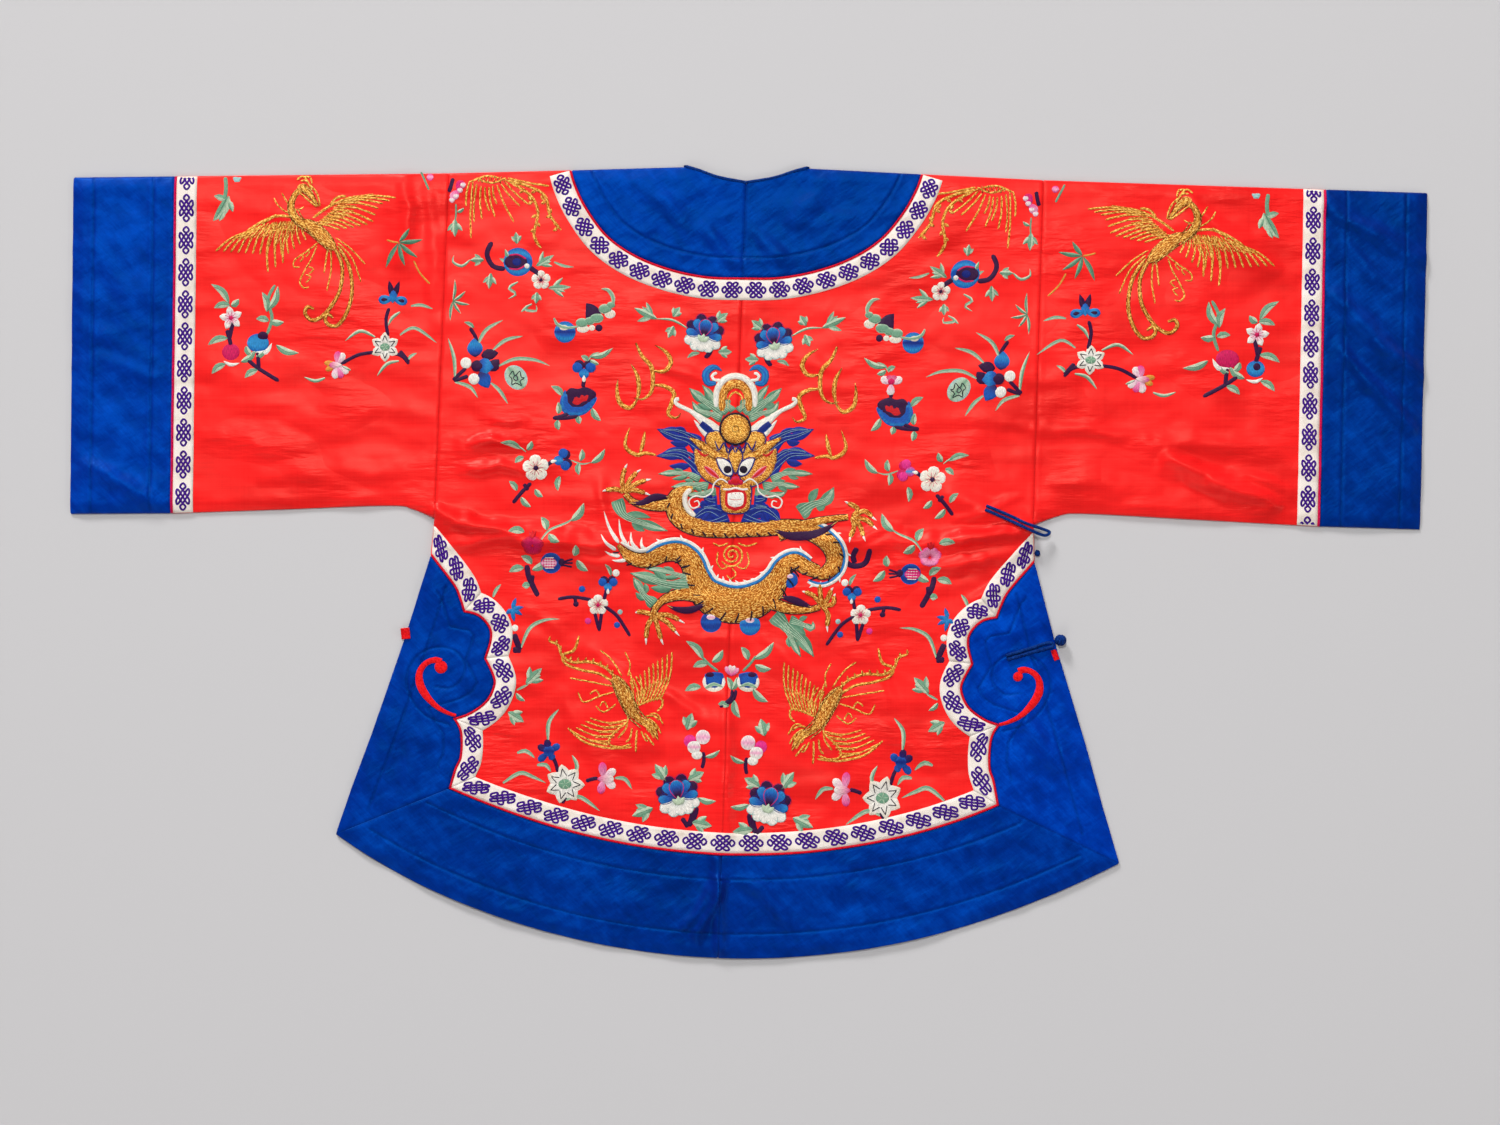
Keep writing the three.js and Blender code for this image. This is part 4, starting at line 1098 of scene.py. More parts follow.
def plumFlower(pen, centre, r, turn, hue=("along", "cream", "white"), heart="plum", shape="petal",
               width=0.44):
    for k in range(5):
        angle = turn + 72 * k
        petal(pen, centre, angle, r * 0.12, r, r * width, hue, shape=shape)
        for off in (-16, 0, 16):
            pen.line([polar(centre, angle + off, r * 0.2), polar(centre, angle + off * 1.1, r * 0.55)], 0.3,
                     "rose", 0.2, 0.62)
    pen.dot(centre, r * 0.19, heart, 0.5, 0.55)


def starFlower(pen, centre, r=14, turn=0, petals=7):
    for k in range(petals):
        angle = turn + 360 * k / petals
        petal(pen, centre, angle, r * 0.15, r, r * 0.34, ("along", "white", "white", "cream"), shape="leaf")
    for k in range(petals):
        angle = turn + 360 * k / petals
        left, tip, right = (polar(centre, angle + a, r * d) for a, d in ((-22, 0.42), (0, 0.78), (22, 0.42)))
        pen.line([left, tip], 0.42, "ink", 0.2, 0.85)
        pen.line([tip, right], 0.42, "ink", 0.2, 0.85)
    pen.dot(centre, r * 0.33, "leaf", 0.5, 0.8, 0.75)
    for k in range(5):
        pen.line([polar(centre, turn + 72 * k, r * 0.04), polar(centre, turn + 72 * k, r * 0.3)], 0.3,
                 "paleLeaf", 0.2, 1.25)


def trefoil(pen, centre, r=4.4, turn=0, ball="blue", back="plum"):
    for off in (-40, 40):
        pen.dot(polar(centre, turn + off, r * 1.15), r * 0.8, back, 0.4)
    for off in (0, 118, 242):
        pen.dot(polar(centre, turn + off + 180, r * 1.15 if off else r * 0.4), r * 0.78,
                ("edges", ball, ball) if off else ("edges", "sky", ball), 0.6, 0.3)
    petal(pen, polar(centre, turn + 180, r * 0.6), turn + 180, 0, r * 1.1, r * 0.3, "white", 0.6)


def pod(pen, centre):  # a ripe fruit, split open over a jagged red heart
    at = lambda outline: spots(outline) + centre
    pen.fill(at((-13, -12, -17, -5, -18, 3, -14, 11, -5, 14, 5, 13, 13, 7, 19, -3, 15, -6, 0, -4, -9, -8)),
             ("edges", "blue", "sky", "blue"), 0.8)
    pen.fill(at((-12, -10, -7, -14, 0, -13, 6, -15, 13, -13, 18, -9, 17, -4, 11, 2, 3, 6, -6, 6, -11, 1)),
             "plum", 0.5, 0.5)
    pen.fill(at((-8, -4, -5, -1, -3, -8, 1, -4, 5, -11, 6, -6, 11, -8, 9, -1, 5, 0, 1, 3, -5, 2)),
             "red", 0.3, 0.95)


def rimmed(pen, centre, angle, start, end, width, colour, rim,
           level=0.0):  # a petal with a fine line round it
    petal(pen, centre, angle, start, end, width, colour, level)
    t = np.linspace(0.06, 0.97, 9)
    half = width * profiles["petal"](t) * 0.92
    w = math.radians(angle)
    along, across = (math.cos(w), math.sin(w)), (-math.sin(w), math.cos(w))
    reach = start + (end - start) * t
    side = [[(centre[0] + along[0] * a + across[0] * b * s, centre[1] + along[1] * a + across[1] * b * s)
             for a, b in zip(reach, half)] for s in (1, -1)]
    pen.line(side[0] + side[1][::-1], 0.32, rim, 0.25, level + 0.55, step=2.4)


def peony(pen, centre, r=18, turn=0):  # turn: where the flower opens to
    for off, reach in ((-150, 0.9), (178, 0.8), (146, 0.9), (-116, 1.0), (114, 1.0)):
        rimmed(pen, polar(centre, turn + 180, r * 0.1), turn + off, 0, r * reach, r * 0.3,
               ("along", "mist", "white", "white"), "mist")
    for off in (-66, 66, -22, 22):
        rimmed(pen, centre, turn + off, 0, r * 1.05, r * 0.32, "plum", "rose", 0.1)
    for off in (-92, 92):
        rimmed(pen, centre, turn + off, 0, r * 0.92, r * 0.27, ("along", "plum", "blue", "sky"), "navy", 0.2)
    for off in (-44, 44):
        rimmed(pen, centre, turn + off, 0, r * 0.86, r * 0.33, ("along", "plum", "blue", "sky"), "navy", 0.3)
    rimmed(pen, polar(centre, turn + 180, r * 0.15), turn, 0, r * 0.9, r * 0.36,
           ("along", "plum", "plum", "blue", "sky"), "rose", 0.45)
    for off in (-42, 42, 0):
        petal(pen, polar(centre, turn + 180, r * 0.4), turn + off, 0, r * 0.42, r * 0.12, "paleLeaf", 0.9,
              "leaf")


def iris(pen, centre, r=11, turn=-90):
    for off in (-16, 16):
        petal(pen, centre, turn + off, 0, r * 1.35, r * 0.22, "plum", shape="leaf")
    for off in (-98, 98):
        petal(pen, centre, turn + off, 0, r * 1.05, r * 0.34, ("along", "blue", "sky", "blue"), 0.1)
        petal(pen, centre, turn + off, r * 0.35, r * 0.85, r * 0.16, "plum", 0.5)
    petal(pen, centre, turn, r * -0.3, r * 0.62, r * 0.3, ("along", "sky", "blue"), 0.3)


def orchid(pen, centre, r=14):
    x, y = centre
    for dx, dy, angle, reach, width, hue, level in (
            (-4, -7, -93, 1.2, 0.5, ("along", "plum", "blue", "sky", "blue"), 0.0),
            (1, -8, -10, 1.1, 0.36, "plum", 0.0), (8, 5, -48, 0.95, 0.38, "plum", 0.0),
            (0, 6, 62, 1.15, 0.46, ("along", "plum", "blue", "blue"), 0.1),
            (-3, 0, 8, 1.1, 0.52, ("along", "plum", "blue", "sky", "blue"), 0.35)):
        petal(pen, (x + dx * r / 14, y + dy * r / 14), angle, 0, r * reach, r * width, hue, level, "leaf")
    pen.dot((x - 3, y + 1), r * 0.36, "plum", 0.6, 0.6)


def grass(pen, *paths, width=1.7):
    for path in paths:
        pen.blade(path, width, ("sides", "paleLeaf", "leaf"), "grass", 0.5)


def stems(pen, *paths, width=1.5, hue="plum"):
    for path in paths:
        pen.blade(path, width * 1.25, hue, "stem", 0.5)


def leaves(pen, rows, width=3.2):
    for x1, y1, x2, y2 in rows:
        leaf(pen, (x1, y1), (x2, y2), width * 1.18)


def lobed(pen, rows, width=3.0):
    for x1, y1, x2, y2 in rows:
        lobedLeaf(pen, (x1, y1), (x2, y2), width * 1.22)


# by default a painted highlight down the middle of each gold line
def goldLines(pen, paths, width=1.0, hue=("edges", "lightGold", "straw"), rise=0.6, level=0.0):
    for path in paths:
        pen.line(path, width, hue, rise, level, rows=4)


def feathers(pen, roots, tips, count, width=1.0, bow=0.08):  # a wing: a line from each root to its tip
    roots, tips = resampled(roots, count), resampled(tips, count)
    for (x1, y1), (x2, y2) in zip(roots, tips):
        middle = ((x1 + x2) / 2 - (y2 - y1) * bow, (y1 + y2) / 2 + (x2 - x1) * bow)
        # a painted highlight down the middle of each feather line
        pen.line([(x1, y1), middle, (x2, y2)], width, ("edges", "lightGold", "straw"), 0.7, 0.0, rows=4)
        off = normalsOf([(x1, y1), (x2, y2)])[0] * 2.1
        pen.line([(x1 + off[0], y1 + off[1]), (middle[0] + off[0] * 0.9, middle[1] + off[1] * 0.9)],
                 width * 0.55, "gold", 0.5, 0.0, rows=3)


def scales(pen, path, width):  # couched rings over a body
    line = evenly(curveThrough(path, 30), 3.2)
    normal = normalsOf(line)
    for k, (p, n) in enumerate(zip(line[1:-1], normal[1:-1])):
        for s in (-0.5, 0.5) if k % 2 else (0,):
            c = p + n * s * width
            pen.line([c + n * 1.5, c + (n[1] * 1.2, -n[0] * 1.2), c - n * 1.5], 0.45, "darkGold", 0.25, 0.75)


def phoenixBody(pen, neck, body, width=6.5):
    pen.blade(neck, width * 0.55, goldRound, [0.7, 0.8, 1.1, 1.2], 0.9, rows=8)
    pen.blade(body, width, ("edges", "gold", "straw", "darkGold"), "oval", 1.1, 0.1, rows=8)
    scales(pen, body, width * 0.8)
    x, y = neck[:2]
    pen.dot((x, y), width * 0.75, ("edges", "lightGold", "gold"), 0.9, 0.2, 0.8)
    pen.dot((x + 1, y - 0.5), 0.9, "ink", 0.3, 1.1)


def eachSide(draw, shifts):  # draw on the left half, and again on the right with its own small shift
    draw(Stitching(), "left")
    draw(Stitching(shifts), "right")


def sleeveMotifs(pen, side):
    stems(pen, (225, 177, 226, 187, 225, 198), width=1.6, hue="leaf")
    for path, w in (((229, 196, 224, 208, 213, 221), 5.2), ((226, 200, 219, 197, 214, 196), 3.4),
                    ((228, 200, 231, 206, 233, 212), 3.2), ((224, 208, 222, 216, 219, 221), 3.0)):
        pen.blade(path, w, greenLeaf, "leaf", 0.7, run="vein")
    pen.line((227, 198, 222, 208, 216, 218), 0.4, "deepLeaf", 0.2, 0.75)
    pen.blade((233, 177, 237, 180, 241, 177), 3.0, "mist", "leaf", 0.5)
    # blossom and two round fruits
    stems(pen, (233, 322, 229, 340), (227, 330, 231, 345), width=1.7)
    stems(pen, (246, 358, 258, 368, 279, 381), (258, 352, 259, 369), width=1.6)
    stems(pen, (267, 335, 272, 318, 268, 300, 275, 285), width=1.3, hue="leaf")
    leaves(pen, [(229, 303, 211, 284), (230, 305, 214, 308), (231, 306, 239, 299), (228, 338, 208, 345),
                 (226, 364, 212, 374), (258, 370, 245, 378), (268, 310, 278, 286), (267, 312, 262, 292),
                 (269, 321, 256, 319), (270, 321, 284, 322), (276, 345, 299, 353)], 3.0)
    plumFlower(pen, (231, 318), 12, -100, ("along", "palePink", "white", "white"), "rose", "leaf", 0.33)
    blueBall, redBall = ("edges", "sky", "sky", "blue"), ("edges", "rose", "rose", "rose")
    big, small = (blueBall, redBall) if side == "left" else (redBall, blueBall)
    pen.dot((231, 352), 8.8, small, 0.8, 0.0, 0.95)
    pen.blade((224, 361, 231, 365, 240, 363), 1.8, "white", "leaf", 0.5, 0.4)
    pen.blade((255, 352, 266, 352, 272, 343), 2.6, "white", "leaf", 0.5, 0.0)
    pen.dot((258, 343), 11, big, 0.9, 0.1, 0.85)
    if side == "left":
        pen.dot((263, 336), 5.2, "plum", 0.5, 0.7, 0.85)
    else:
        pen.dot((230, 350), 3.6, "plum", 0.5, 0.7, 1.1)
    leaves(pen, [(241, 362, 256, 350), (246, 346, 252, 356), (256, 357, 265, 350)], 2.8)
    # iris, white star flower and pink bud
    stems(pen, (389, 308, 386, 320, 388, 336), (377, 352, 358, 355, 341, 364),
          (392, 353, 402, 356, 409, 364), width=1.4)
    stems(pen, (400, 351, 409, 362), width=1.6)
    grass(pen, (375, 337, 360, 331, 345, 341), (400, 335, 415, 328, 437, 343),
          (400, 312, 392, 318, 388, 326), (411, 306, 421, 305, 433, 309), (399, 361, 387, 364, 377, 376),
          (325, 378, 315, 381, 304, 377), (408, 360, 411, 356, 417, 353))
    iris(pen, (393, 299), 14, -86)
    starFlower(pen, (385, 347), 15, -30, 6)
    for angle, hue in ((-85, "pink"), (-60, "white"), (35, "white"), (70, "pink"), (100, "white")):
        petal(pen, (337, 365), angle, 1, 14, 4.0, ("along", "palePink", hue))
    for angle in (150, 185):
        petal(pen, (337, 364), angle, 0, 13, 3.0, "straw")
    petal(pen, (338, 365), 178, -4, 9, 3.6, ("along", "white", "pink"), 0.5)
    leaf(pen, (342, 366), (351, 370), 2.4)
    # bamboo
    for angle, reach in ((-52, 18), (-8, 24), (38, 24), (75, 24), (118, 28)):
        leaf(pen, polar((399, 243), angle, 1), polar((399, 243), angle, reach), 2.3, 0.04,
             ("sides", "deepLeaf", "leaf"))
    stems(pen, (414, 261, 420, 273, 430, 284), (387, 240, 393, 242, 399, 243), width=0.7, hue="straw")
    stems(pen, (421, 172, 425, 181, 429, 190), width=0.9, hue="leaf")
    pen.dot((430, 177), 3.6, ("edges", "palePink", "pink"))
    pen.done(f"sleeve_flowers_{side}")


def sleevePhoenix(pen, side):
    feathers(pen, (302, 222, 284, 221, 264, 224, 250, 231), (306, 240, 286, 256, 256, 254, 216, 251), 14)
    feathers(pen, (292, 221, 275, 222), (283, 263, 268, 272), 3)
    feathers(pen, (316, 224, 328, 214, 340, 202, 352, 199), (340, 230, 372, 224, 380, 205, 396, 198), 11,
             bow=-0.06)
    goldLines(pen, [(303, 220, 280, 216, 262, 222, 246, 232), (313, 218, 330, 206, 350, 198, 372, 196),
                    (262, 224, 270, 219, 277, 215), (330, 206, 336, 198, 346, 196)], 1.3)
    for y in (1, 6):
        goldLines(pen, [[(296, 224 + y), (278, 224 + y), (262, 230 + y)],
                        [(322, 219 + y), (334, 210 + y), (348, 205 + y)]], 0.7)
    goldLines(pen,
              [(334, 246, 342, 266, 340, 290, 330, 308, 320, 318, 311, 320, 305, 313, 308, 307, 314, 309),
               (338, 246, 349, 266, 352, 292, 347, 312, 338, 325, 329, 325, 325, 319, 328, 314, 333, 318)],
              1.9, goldRound, 0.9)
    goldLines(pen, [(336, 238, 350, 248, 365, 264), (338, 243, 352, 258, 361, 282),
                    (328, 248, 326, 260, 324, 273), (331, 249, 331, 270, 327, 291),
                    (318, 243, 306, 252, 295, 260, 294, 267, 300, 267),
                    (317, 246, 312, 258, 304, 272, 300, 282, 304, 288, 309, 287),
                    (304, 207, 298, 210, 290, 206, 282, 193), (296, 214, 286, 212, 278, 205, 274, 198),
                    (300, 262, 304, 257, 300, 255), (306, 257, 310, 252, 306, 251),
                    (306, 283, 311, 277, 306, 275), (309, 274, 314, 269, 309, 267)], 0.8)
    phoenixBody(pen, (303, 188, 295, 195, 291, 207, 296, 219, 307, 227), (304, 220, 318, 232, 336, 250), 7.4)
    pen.blade((300, 186, 309, 193, 319, 207), 5.0, goldRound, "taper", 1.0, 0.4)
    goldLines(pen, [(297, 180, 303, 176, 309, 183), (303, 177, 310, 177, 312, 184),
                    (309, 184, 317, 193, 320, 206), (299, 192, 307, 199, 317, 207),
                    (301, 181, 307, 181, 312, 190)], 0.9, "lightGold", 0.6, 0.8)
    goldLines(pen, [(298, 208, 304, 219, 322, 233, 333, 247),
                    (289, 200, 289, 212, 297, 224, 312, 236, 330, 252)], 0.6, "darkGold", 0.3, 1.0)
    pen.done(f"sleeve_phoenix_{side}", "goldThread")


def shoulderMotifs(pen, side):
    for x1, y1, x2, y2 in ((470, 181, 466, 206), (473, 182, 471, 238), (477, 184, 474, 222),
                           (481, 186, 482, 219), (485, 187, 489, 211), (489, 187, 495, 217),
                           (493, 186, 497, 204), (497, 185, 514, 222), (501, 184, 520, 206),
                           (505, 182, 528, 204)):
        goldLines(pen, [[(x1, y1), ((x1 + x2) / 2 - 1.5, (y1 + y2) / 2), (x2, y2)]], 0.95)
    goldLines(pen, [(508, 178, 530, 183, 549, 186), (470, 182, 486, 176, 500, 178),
                    (478, 179, 492, 183, 506, 178)], 1.0)
    goldLines(pen, [(510, 182, 530, 195, 538, 212, 534, 235, 541, 248),
                    (505, 180, 528, 186, 545, 196, 550, 215, 561, 230)], 1.5, ("edges", "lightGold", "gold"))
    for path in ((524, 190, 536, 206, 537, 222, 534, 236), (536, 190, 547, 202, 552, 218, 558, 228)):
        for k, (x, y) in enumerate(evenly(path, 7)):
            petal(pen, (x, y), 60 if k % 2 else 150, 0, 6, 1.7, "straw", 0.3, "leaf")
    scales(pen, (476, 181, 490, 179, 508, 181), 4)
    pen.done(f"shoulder_phoenix_{side}", "goldThread")


def bodyMotifs(pen, side):
    # blossom and leaves by the shoulder seam
    petal(pen, (457, 191), -60, 0, 12, 5, ("along", "pink", "rose"))
    petal(pen, (459, 190), 130, 0, 12, 4.6, ("along", "pink", "palePink"))
    for c in ((463, 185), (460, 190), (456, 196), (452, 200)):
        pen.dot(c, 2.9, ("edges", "white", "palePink"), 0.5, 0.4)
    stems(pen, (453, 178, 451, 186, 449, 192), width=1.6)
    stems(pen, (456, 204, 456, 214, 455, 222), width=0.7, hue="leaf")
    lobed(pen, [(455, 219, 455, 237)], 2.8)
    leaf(pen, (457, 212), (464, 208), 1.9)
    # round fruit with scrolling leaves
    stems(pen, (492, 242, 487, 254, 493, 266, 505, 269), (529, 267, 535, 271, 540, 275), width=2.0)
    pen.dot((518, 262), 14.6, ("edges", "blue", "blue", "sky", "blue"), 0.8, 0.0, 0.98)
    pen.dot((516, 262), 11.6, "plum", 0.6, 0.4, 0.84)
    for s in (-1, 1):
        pen.line([(509, 262 + 6.5 * s), (518, 262 + 7.4 * s), (526, 262 + 3 * s)], 0.8, "rose", 0.3, 1.0)
    pen.dot((517, 262), 4.6, "navy", 0.5, 0.75)
    lobed(pen, [(512, 268, 505, 249), (491, 273, 489, 289), (517, 244, 516, 232), (536, 266, 554, 255),
                (548, 288, 571, 287), (537, 292, 536, 304), (484, 260, 470, 260)], 2.5)
    pen.dot((527, 266), 2.6, "white", 0.5, 0.9)
    for path in ((470, 260, 462, 266, 453, 262, 454, 255), (518, 282, 509, 288, 516, 294, 508, 299),
                 (554, 262, 564, 266, 574, 267), (532, 304, 524, 309, 536, 311, 536, 305),
                 (528, 306, 521, 312)):
        grass(pen, path, width=1.5)
    plumFlower(pen, (541, 280), 9.8, -20)
    # bamboo
    for angle, reach in ((-85, 22), (-38, 16), (12, 17), (58, 15), (98, 20)):
        leaf(pen, (453, 301), polar((453, 301), angle, reach), 1.6, 0.05)
    # bat: scalloped wings, one closed over a blue roundel
    pen.dot((565, 332), 10.8, ("edges", "navy", "blue", "sky", "blue"), 0.8)
    pen.dot((564, 328), 4.4, "cream", 0.4, 0.6, 0.7)
    pen.fill((586, 303, 594, 305, 601, 312, 600, 318, 592, 317, 586, 320), "plum", 0.6)
    pen.dot((599, 328), 3.6, "plum", 0.5)
    for x, y, r, w in ((583, 329, 6.2, 0.6), (610, 314, 5.6, 0.8), (592, 328, 3.2, 0.9)):
        pen.dot((x, y), r, ("edges", "cream", "white"), 0.5, 0.1, w)
    for x, y, r in ((582, 323, 6.2), (590, 321, 5.2), (597, 318, 6.6), (605, 309, 6.4), (611, 305, 4.2)):
        pen.dot((x, y), r, ("edges", "leaf", "leaf", "paleLeaf"), 0.7, 0.3, 0.78)
        pen.line([(x - r * 0.6, y + r * 0.35), (x, y + r * 0.6), (x + r * 0.6, y + r * 0.3)], 0.35,
                 "deepLeaf", 0.2, 0.95)
    for path, w in (((554, 318, 558, 325, 568, 328, 580, 326), 1.9),
                    ((613, 305, 613, 297, 608, 290, 601, 289), 2.2)):
        pen.blade(path, w, ("edges", "leaf", "paleLeaf"), "grass", 0.7, 0.5)
    # peony with its leaf spray
    stems(pen, (708, 345, 710, 350, 705, 358), (712, 344, 711, 352, 706, 358), width=1.3)
    grass(pen, (687, 328, 672, 320, 655, 319), width=1.2)
    lobed(pen, [(657, 319, 634, 308), (673, 317, 680, 307), (674, 326, 668, 338), (715, 322, 728, 313),
                (718, 352, 732, 352)], 2.9)
    leaf(pen, (700, 353), (687, 358), 2.2)
    peony(pen, (704, 334), 20, -78)
    # orchid with long leaves and the stitched oval
    stems(pen, (466, 368, 453, 380), (468, 376, 454, 381), (478, 348, 476, 338, 470, 328), width=1.5)
    grass(pen, (455, 378, 454, 358, 448, 338), (477, 346, 486, 330, 503, 320),
          (493, 350, 506, 340, 523, 336), (499, 366, 515, 359, 535, 360, 550, 366),
          (455, 382, 470, 387, 478, 398), (491, 383, 500, 391, 508, 404), width=1.9)
    leaf(pen, (474, 328), (464, 322), 2.2)
    orchid(pen, (480, 365), 16)
    pen.dot((466, 363), 5.6, "white", 0.8, 0.2)
    pen.dot((474, 379), 5.6, "white", 0.8, 0.2)
    pen.blade((508, 367, 524, 388), 10.6, ("edges", "leaf", "paleLeaf", "mist"), "oval", 0.6, run="across")
    pen.line((509, 376, 513, 371, 515, 376, 520, 371, 521, 377, 525, 378, 520, 381, 522, 386, 516, 383,
              512, 385, 512, 379, 509, 376), 0.5, "ink", 0.2, 0.7)
    pen.line((513, 378, 516, 375, 518, 379, 516, 381, 513, 378), 0.5, "plum", 0.2, 0.7)
    # trefoil over a pod: on the right a white and pink blossom takes its place
    if side == "left":
        trefoil(pen, (584, 371), 6.6, -90)
    else:
        for angle, hue in ((-152, "white"), (-28, "white"), (-118, "rose"), (-62, "rose"), (90, "white")):
            petal(pen, (584, 373), angle, 0, 12 if hue == "white" else 9, 4.2, ("along", "palePink", hue),
                  0.1)
        pen.dot((584, 371), 3.6, "rose", 0.6, 0.5)
    grass(pen, (587, 362, 592, 355, 600, 352), width=1.0)
    leaves(pen, [(590, 357, 613, 348), (588, 361, 581, 356), (590, 360, 599, 364)], 2.5)
    stems(pen, (584, 380, 583, 387), (573, 410, 563, 416, 553, 418), (578, 416, 566, 418, 553, 418),
          width=1.6)
    pod(pen, (578, 402))
    leaves(pen, [(563, 396, 551, 386), (558, 414, 558, 402), (558, 420, 559, 430), (592, 408, 601, 421),
                 (579, 416, 580, 424)], 2.9)
    # plum blossom and trefoil on a twig
    stems(pen, (531, 483, 522, 492, 513, 503), (524, 484, 528, 490), (546, 466, 554, 460), width=1.5)
    grass(pen, (526, 452, 519, 447, 506, 445), (571, 460, 582, 464, 592, 462), width=0.9)
    leaves(pen, [(521, 449, 501, 443), (527, 450, 532, 441), (524, 457, 515, 463), (517, 491, 509, 481),
                 (521, 497, 531, 507), (535, 489, 543, 497), (591, 463, 605, 449), (580, 461, 582, 449),
                 (579, 463, 579, 475), (560, 476, 558, 491)], 2.7)
    trefoil(pen, (561, 460), 6.2, -10, *(() if side == "left" else ("pink", "rose")))
    plumFlower(pen, (536, 468), 13.5, -95)
    # leaf sprig, pomegranate
    grass(pen, (541, 541, 550, 530, 568, 522, 578, 514), width=1.3)
    leaves(pen, [(571, 521, 584, 503), (547, 530, 541, 517), (549, 534, 560, 542), (525, 532, 509, 531)], 3.4)
    stems(pen, (527, 565, 529, 577, 538, 596), (532, 575, 531, 583), width=2.2)
    leaves(pen, [(532, 564, 521, 556), (524, 568, 509, 572), (532, 570, 548, 558), (530, 586, 522, 586),
                 (577, 560, 588, 571), (574, 556, 576, 545)], 3.2)
    pen.dot((551, 563), 10.5, ("edges", "blue", "navy", "blue"), 0.6, 0.0, 1.0)
    pen.dot((549, 563), 8, ("edges", "palePink" if side == "left" else "pink", "rose"), 0.6, 0.25, 0.85)
    for k in range(-2, 3):
        pen.line([(543 + abs(k), 563 + k * 2.6), (556 - abs(k), 563 + k * 2.6)], 0.4, "white", 0.2, 0.8)
        pen.line([(549 + k * 2.6, 557 + abs(k)), (549 + k * 2.6, 569 - abs(k))], 0.4, "rose", 0.2, 0.8)
    pen.blade((558, 562, 565, 563), 4, "plum", "oval", 0.6, 0.2)
    bloom = ("palePink", "pink") if side == "right" else ("rose", "red")
    for angle, reach in ((-160, 12), (-125, 11), (-55, 11), (-20, 12), (35, 10), (90, 9), (145, 10)):
        petal(pen, (533, 546), angle, 1, reach, 4.6, ("along", "rose", *bloom), 0.1)
    for angle in (-115, -90, -65):
        petal(pen, (533, 538), angle, 0, 8, 1.8, "red", 0.5, "leaf")
    stems(pen, (563, 562, 573, 559), (563, 563, 573, 563), (563, 565, 572, 567), width=0.8)
    # plum branch with blue trefoil and dots
    stems(pen, (558, 599, 573, 597, 592, 600), (604, 606, 617, 616, 630, 636), (594, 610, 599, 630),
          (602, 610, 599, 631), (607, 588, 604, 600), (575, 598, 576, 604), width=1.4)
    plumFlower(pen, (598, 605), 10.5, -90, ("along", "cream", "white"), "rose")
    trefoil(pen, (608, 585), 5.4, -90)
    for x, y, r, hue in ((582, 589, 3.3, "blue"), (576, 604, 2.9, "plum"), (588, 621, 3.2, "pink"),
                         (617, 625, 3.2, "blue"), (620, 612, 2.6, "mist"), (616, 573, 3.6, "white")):
        pen.dot((x, y), r, hue)
    leaf(pen, (611, 576), (605, 564), 2.1)
    pen.done(f"body_flowers_{side}")


def lowMotifs(pen, side):
    # half-hidden orchids and sprigs by the ribbon
    for angle, reach in ((-70, 12), (-10, 12), (30, 12), (80, 13), (140, 8)):
        petal(pen, (512, 609), angle, 0, reach, 2.4, ("along", "sky", "blue"), shape="leaf")
    grass(pen, (493, 597, 496, 590, 501, 584), (521, 648, 530, 628, 545, 620, 560, 619), width=1.9)
    stems(pen, (514, 634, 520, 650), (513, 650, 521, 650), width=2.4)
    pen.dot((515, 628), 3.4, "white", 0.6)
    lobed(pen, [(526, 684, 542, 668), (508, 712, 524, 722)], 3.6)
    grass(pen, (517, 690, 523, 687, 529, 684), width=1.3)
    leaf(pen, (516, 693), (525, 701), 2.6)
    # iris, star flower and pink bud above the hem ribbon
    grass(pen, (548, 740, 549, 722, 559, 709), (517, 753, 526, 751, 535, 758),
          (537, 765, 546, 765, 551, 772), (503, 783, 520, 773, 533, 777, 546, 783),
          (575, 774, 577, 765, 572, 755), (566, 800, 580, 797, 600, 811), (615, 778, 625, 779, 632, 789),
          width=2.1)
    stems(pen, (553, 757, 556, 764, 558, 772), (586, 781, 592, 779, 598, 778), (566, 797, 562, 803),
          width=1.5)
    for angle, reach, hue in ((-100, 13, "plum"), (-150, 13, "plum"), (-35, 13, "blue"), (140, 14, "blue"),
                              (60, 9, "blue")):
        petal(pen, (549, 752), angle, 1, reach, 3.8, ("along", "navy", hue), 0.0)
    pen.dot((549, 751), 5.6, ("edges", "navy", "blue"), 0.6, 0.35)
    starFlower(pen, (565, 784), 20, -100, 7)
    for angle, hue, reach in ((-92, "pink", 17), (100, "pink", 15), (-38, "white", 16), (35, "white", 15)):
        petal(pen, (603, 779), angle, 1, reach, 4.2, ("along", "palePink", hue))
    petal(pen, (600, 779), 0, -3, 14, 5, ("along", "pink", "white"), 0.4)
    # pink and white blossom, and the peony below it
    stems(pen, (703, 752, 704, 760, 702, 768), width=1.5)
    lobed(pen, [(687, 730, 692, 713)], 4.0)
    leaf(pen, (705, 757), (720, 750), 2.5)
    pen.dot((690, 741), 6.2, "pink", 0.5)
    pen.dot((703, 737), 7.2, ("edges", "palePink", "white"), 0.7, 0.2)
    pen.dot((694, 747), 6.6, ("edges", "palePink", "white", "white"), 0.7, 0.35)
    pen.dot((697, 755), 5.4, "white", 0.7, 0.25, 0.8)
    stems(pen, (690, 805, 692, 815, 688, 826), (697, 807, 695, 816, 689, 826), (682, 818, 688, 827),
          width=1.8)
    lobed(pen, [(666, 781, 655, 764), (688, 780, 704, 772), (653, 808, 632, 816), (692, 822, 712, 826)], 3.8)
    leaf(pen, (698, 798), (716, 801), 3.2)
    peony(pen, (678, 796), 22, -100)
    pen.done(f"hem_flowers_{side}")


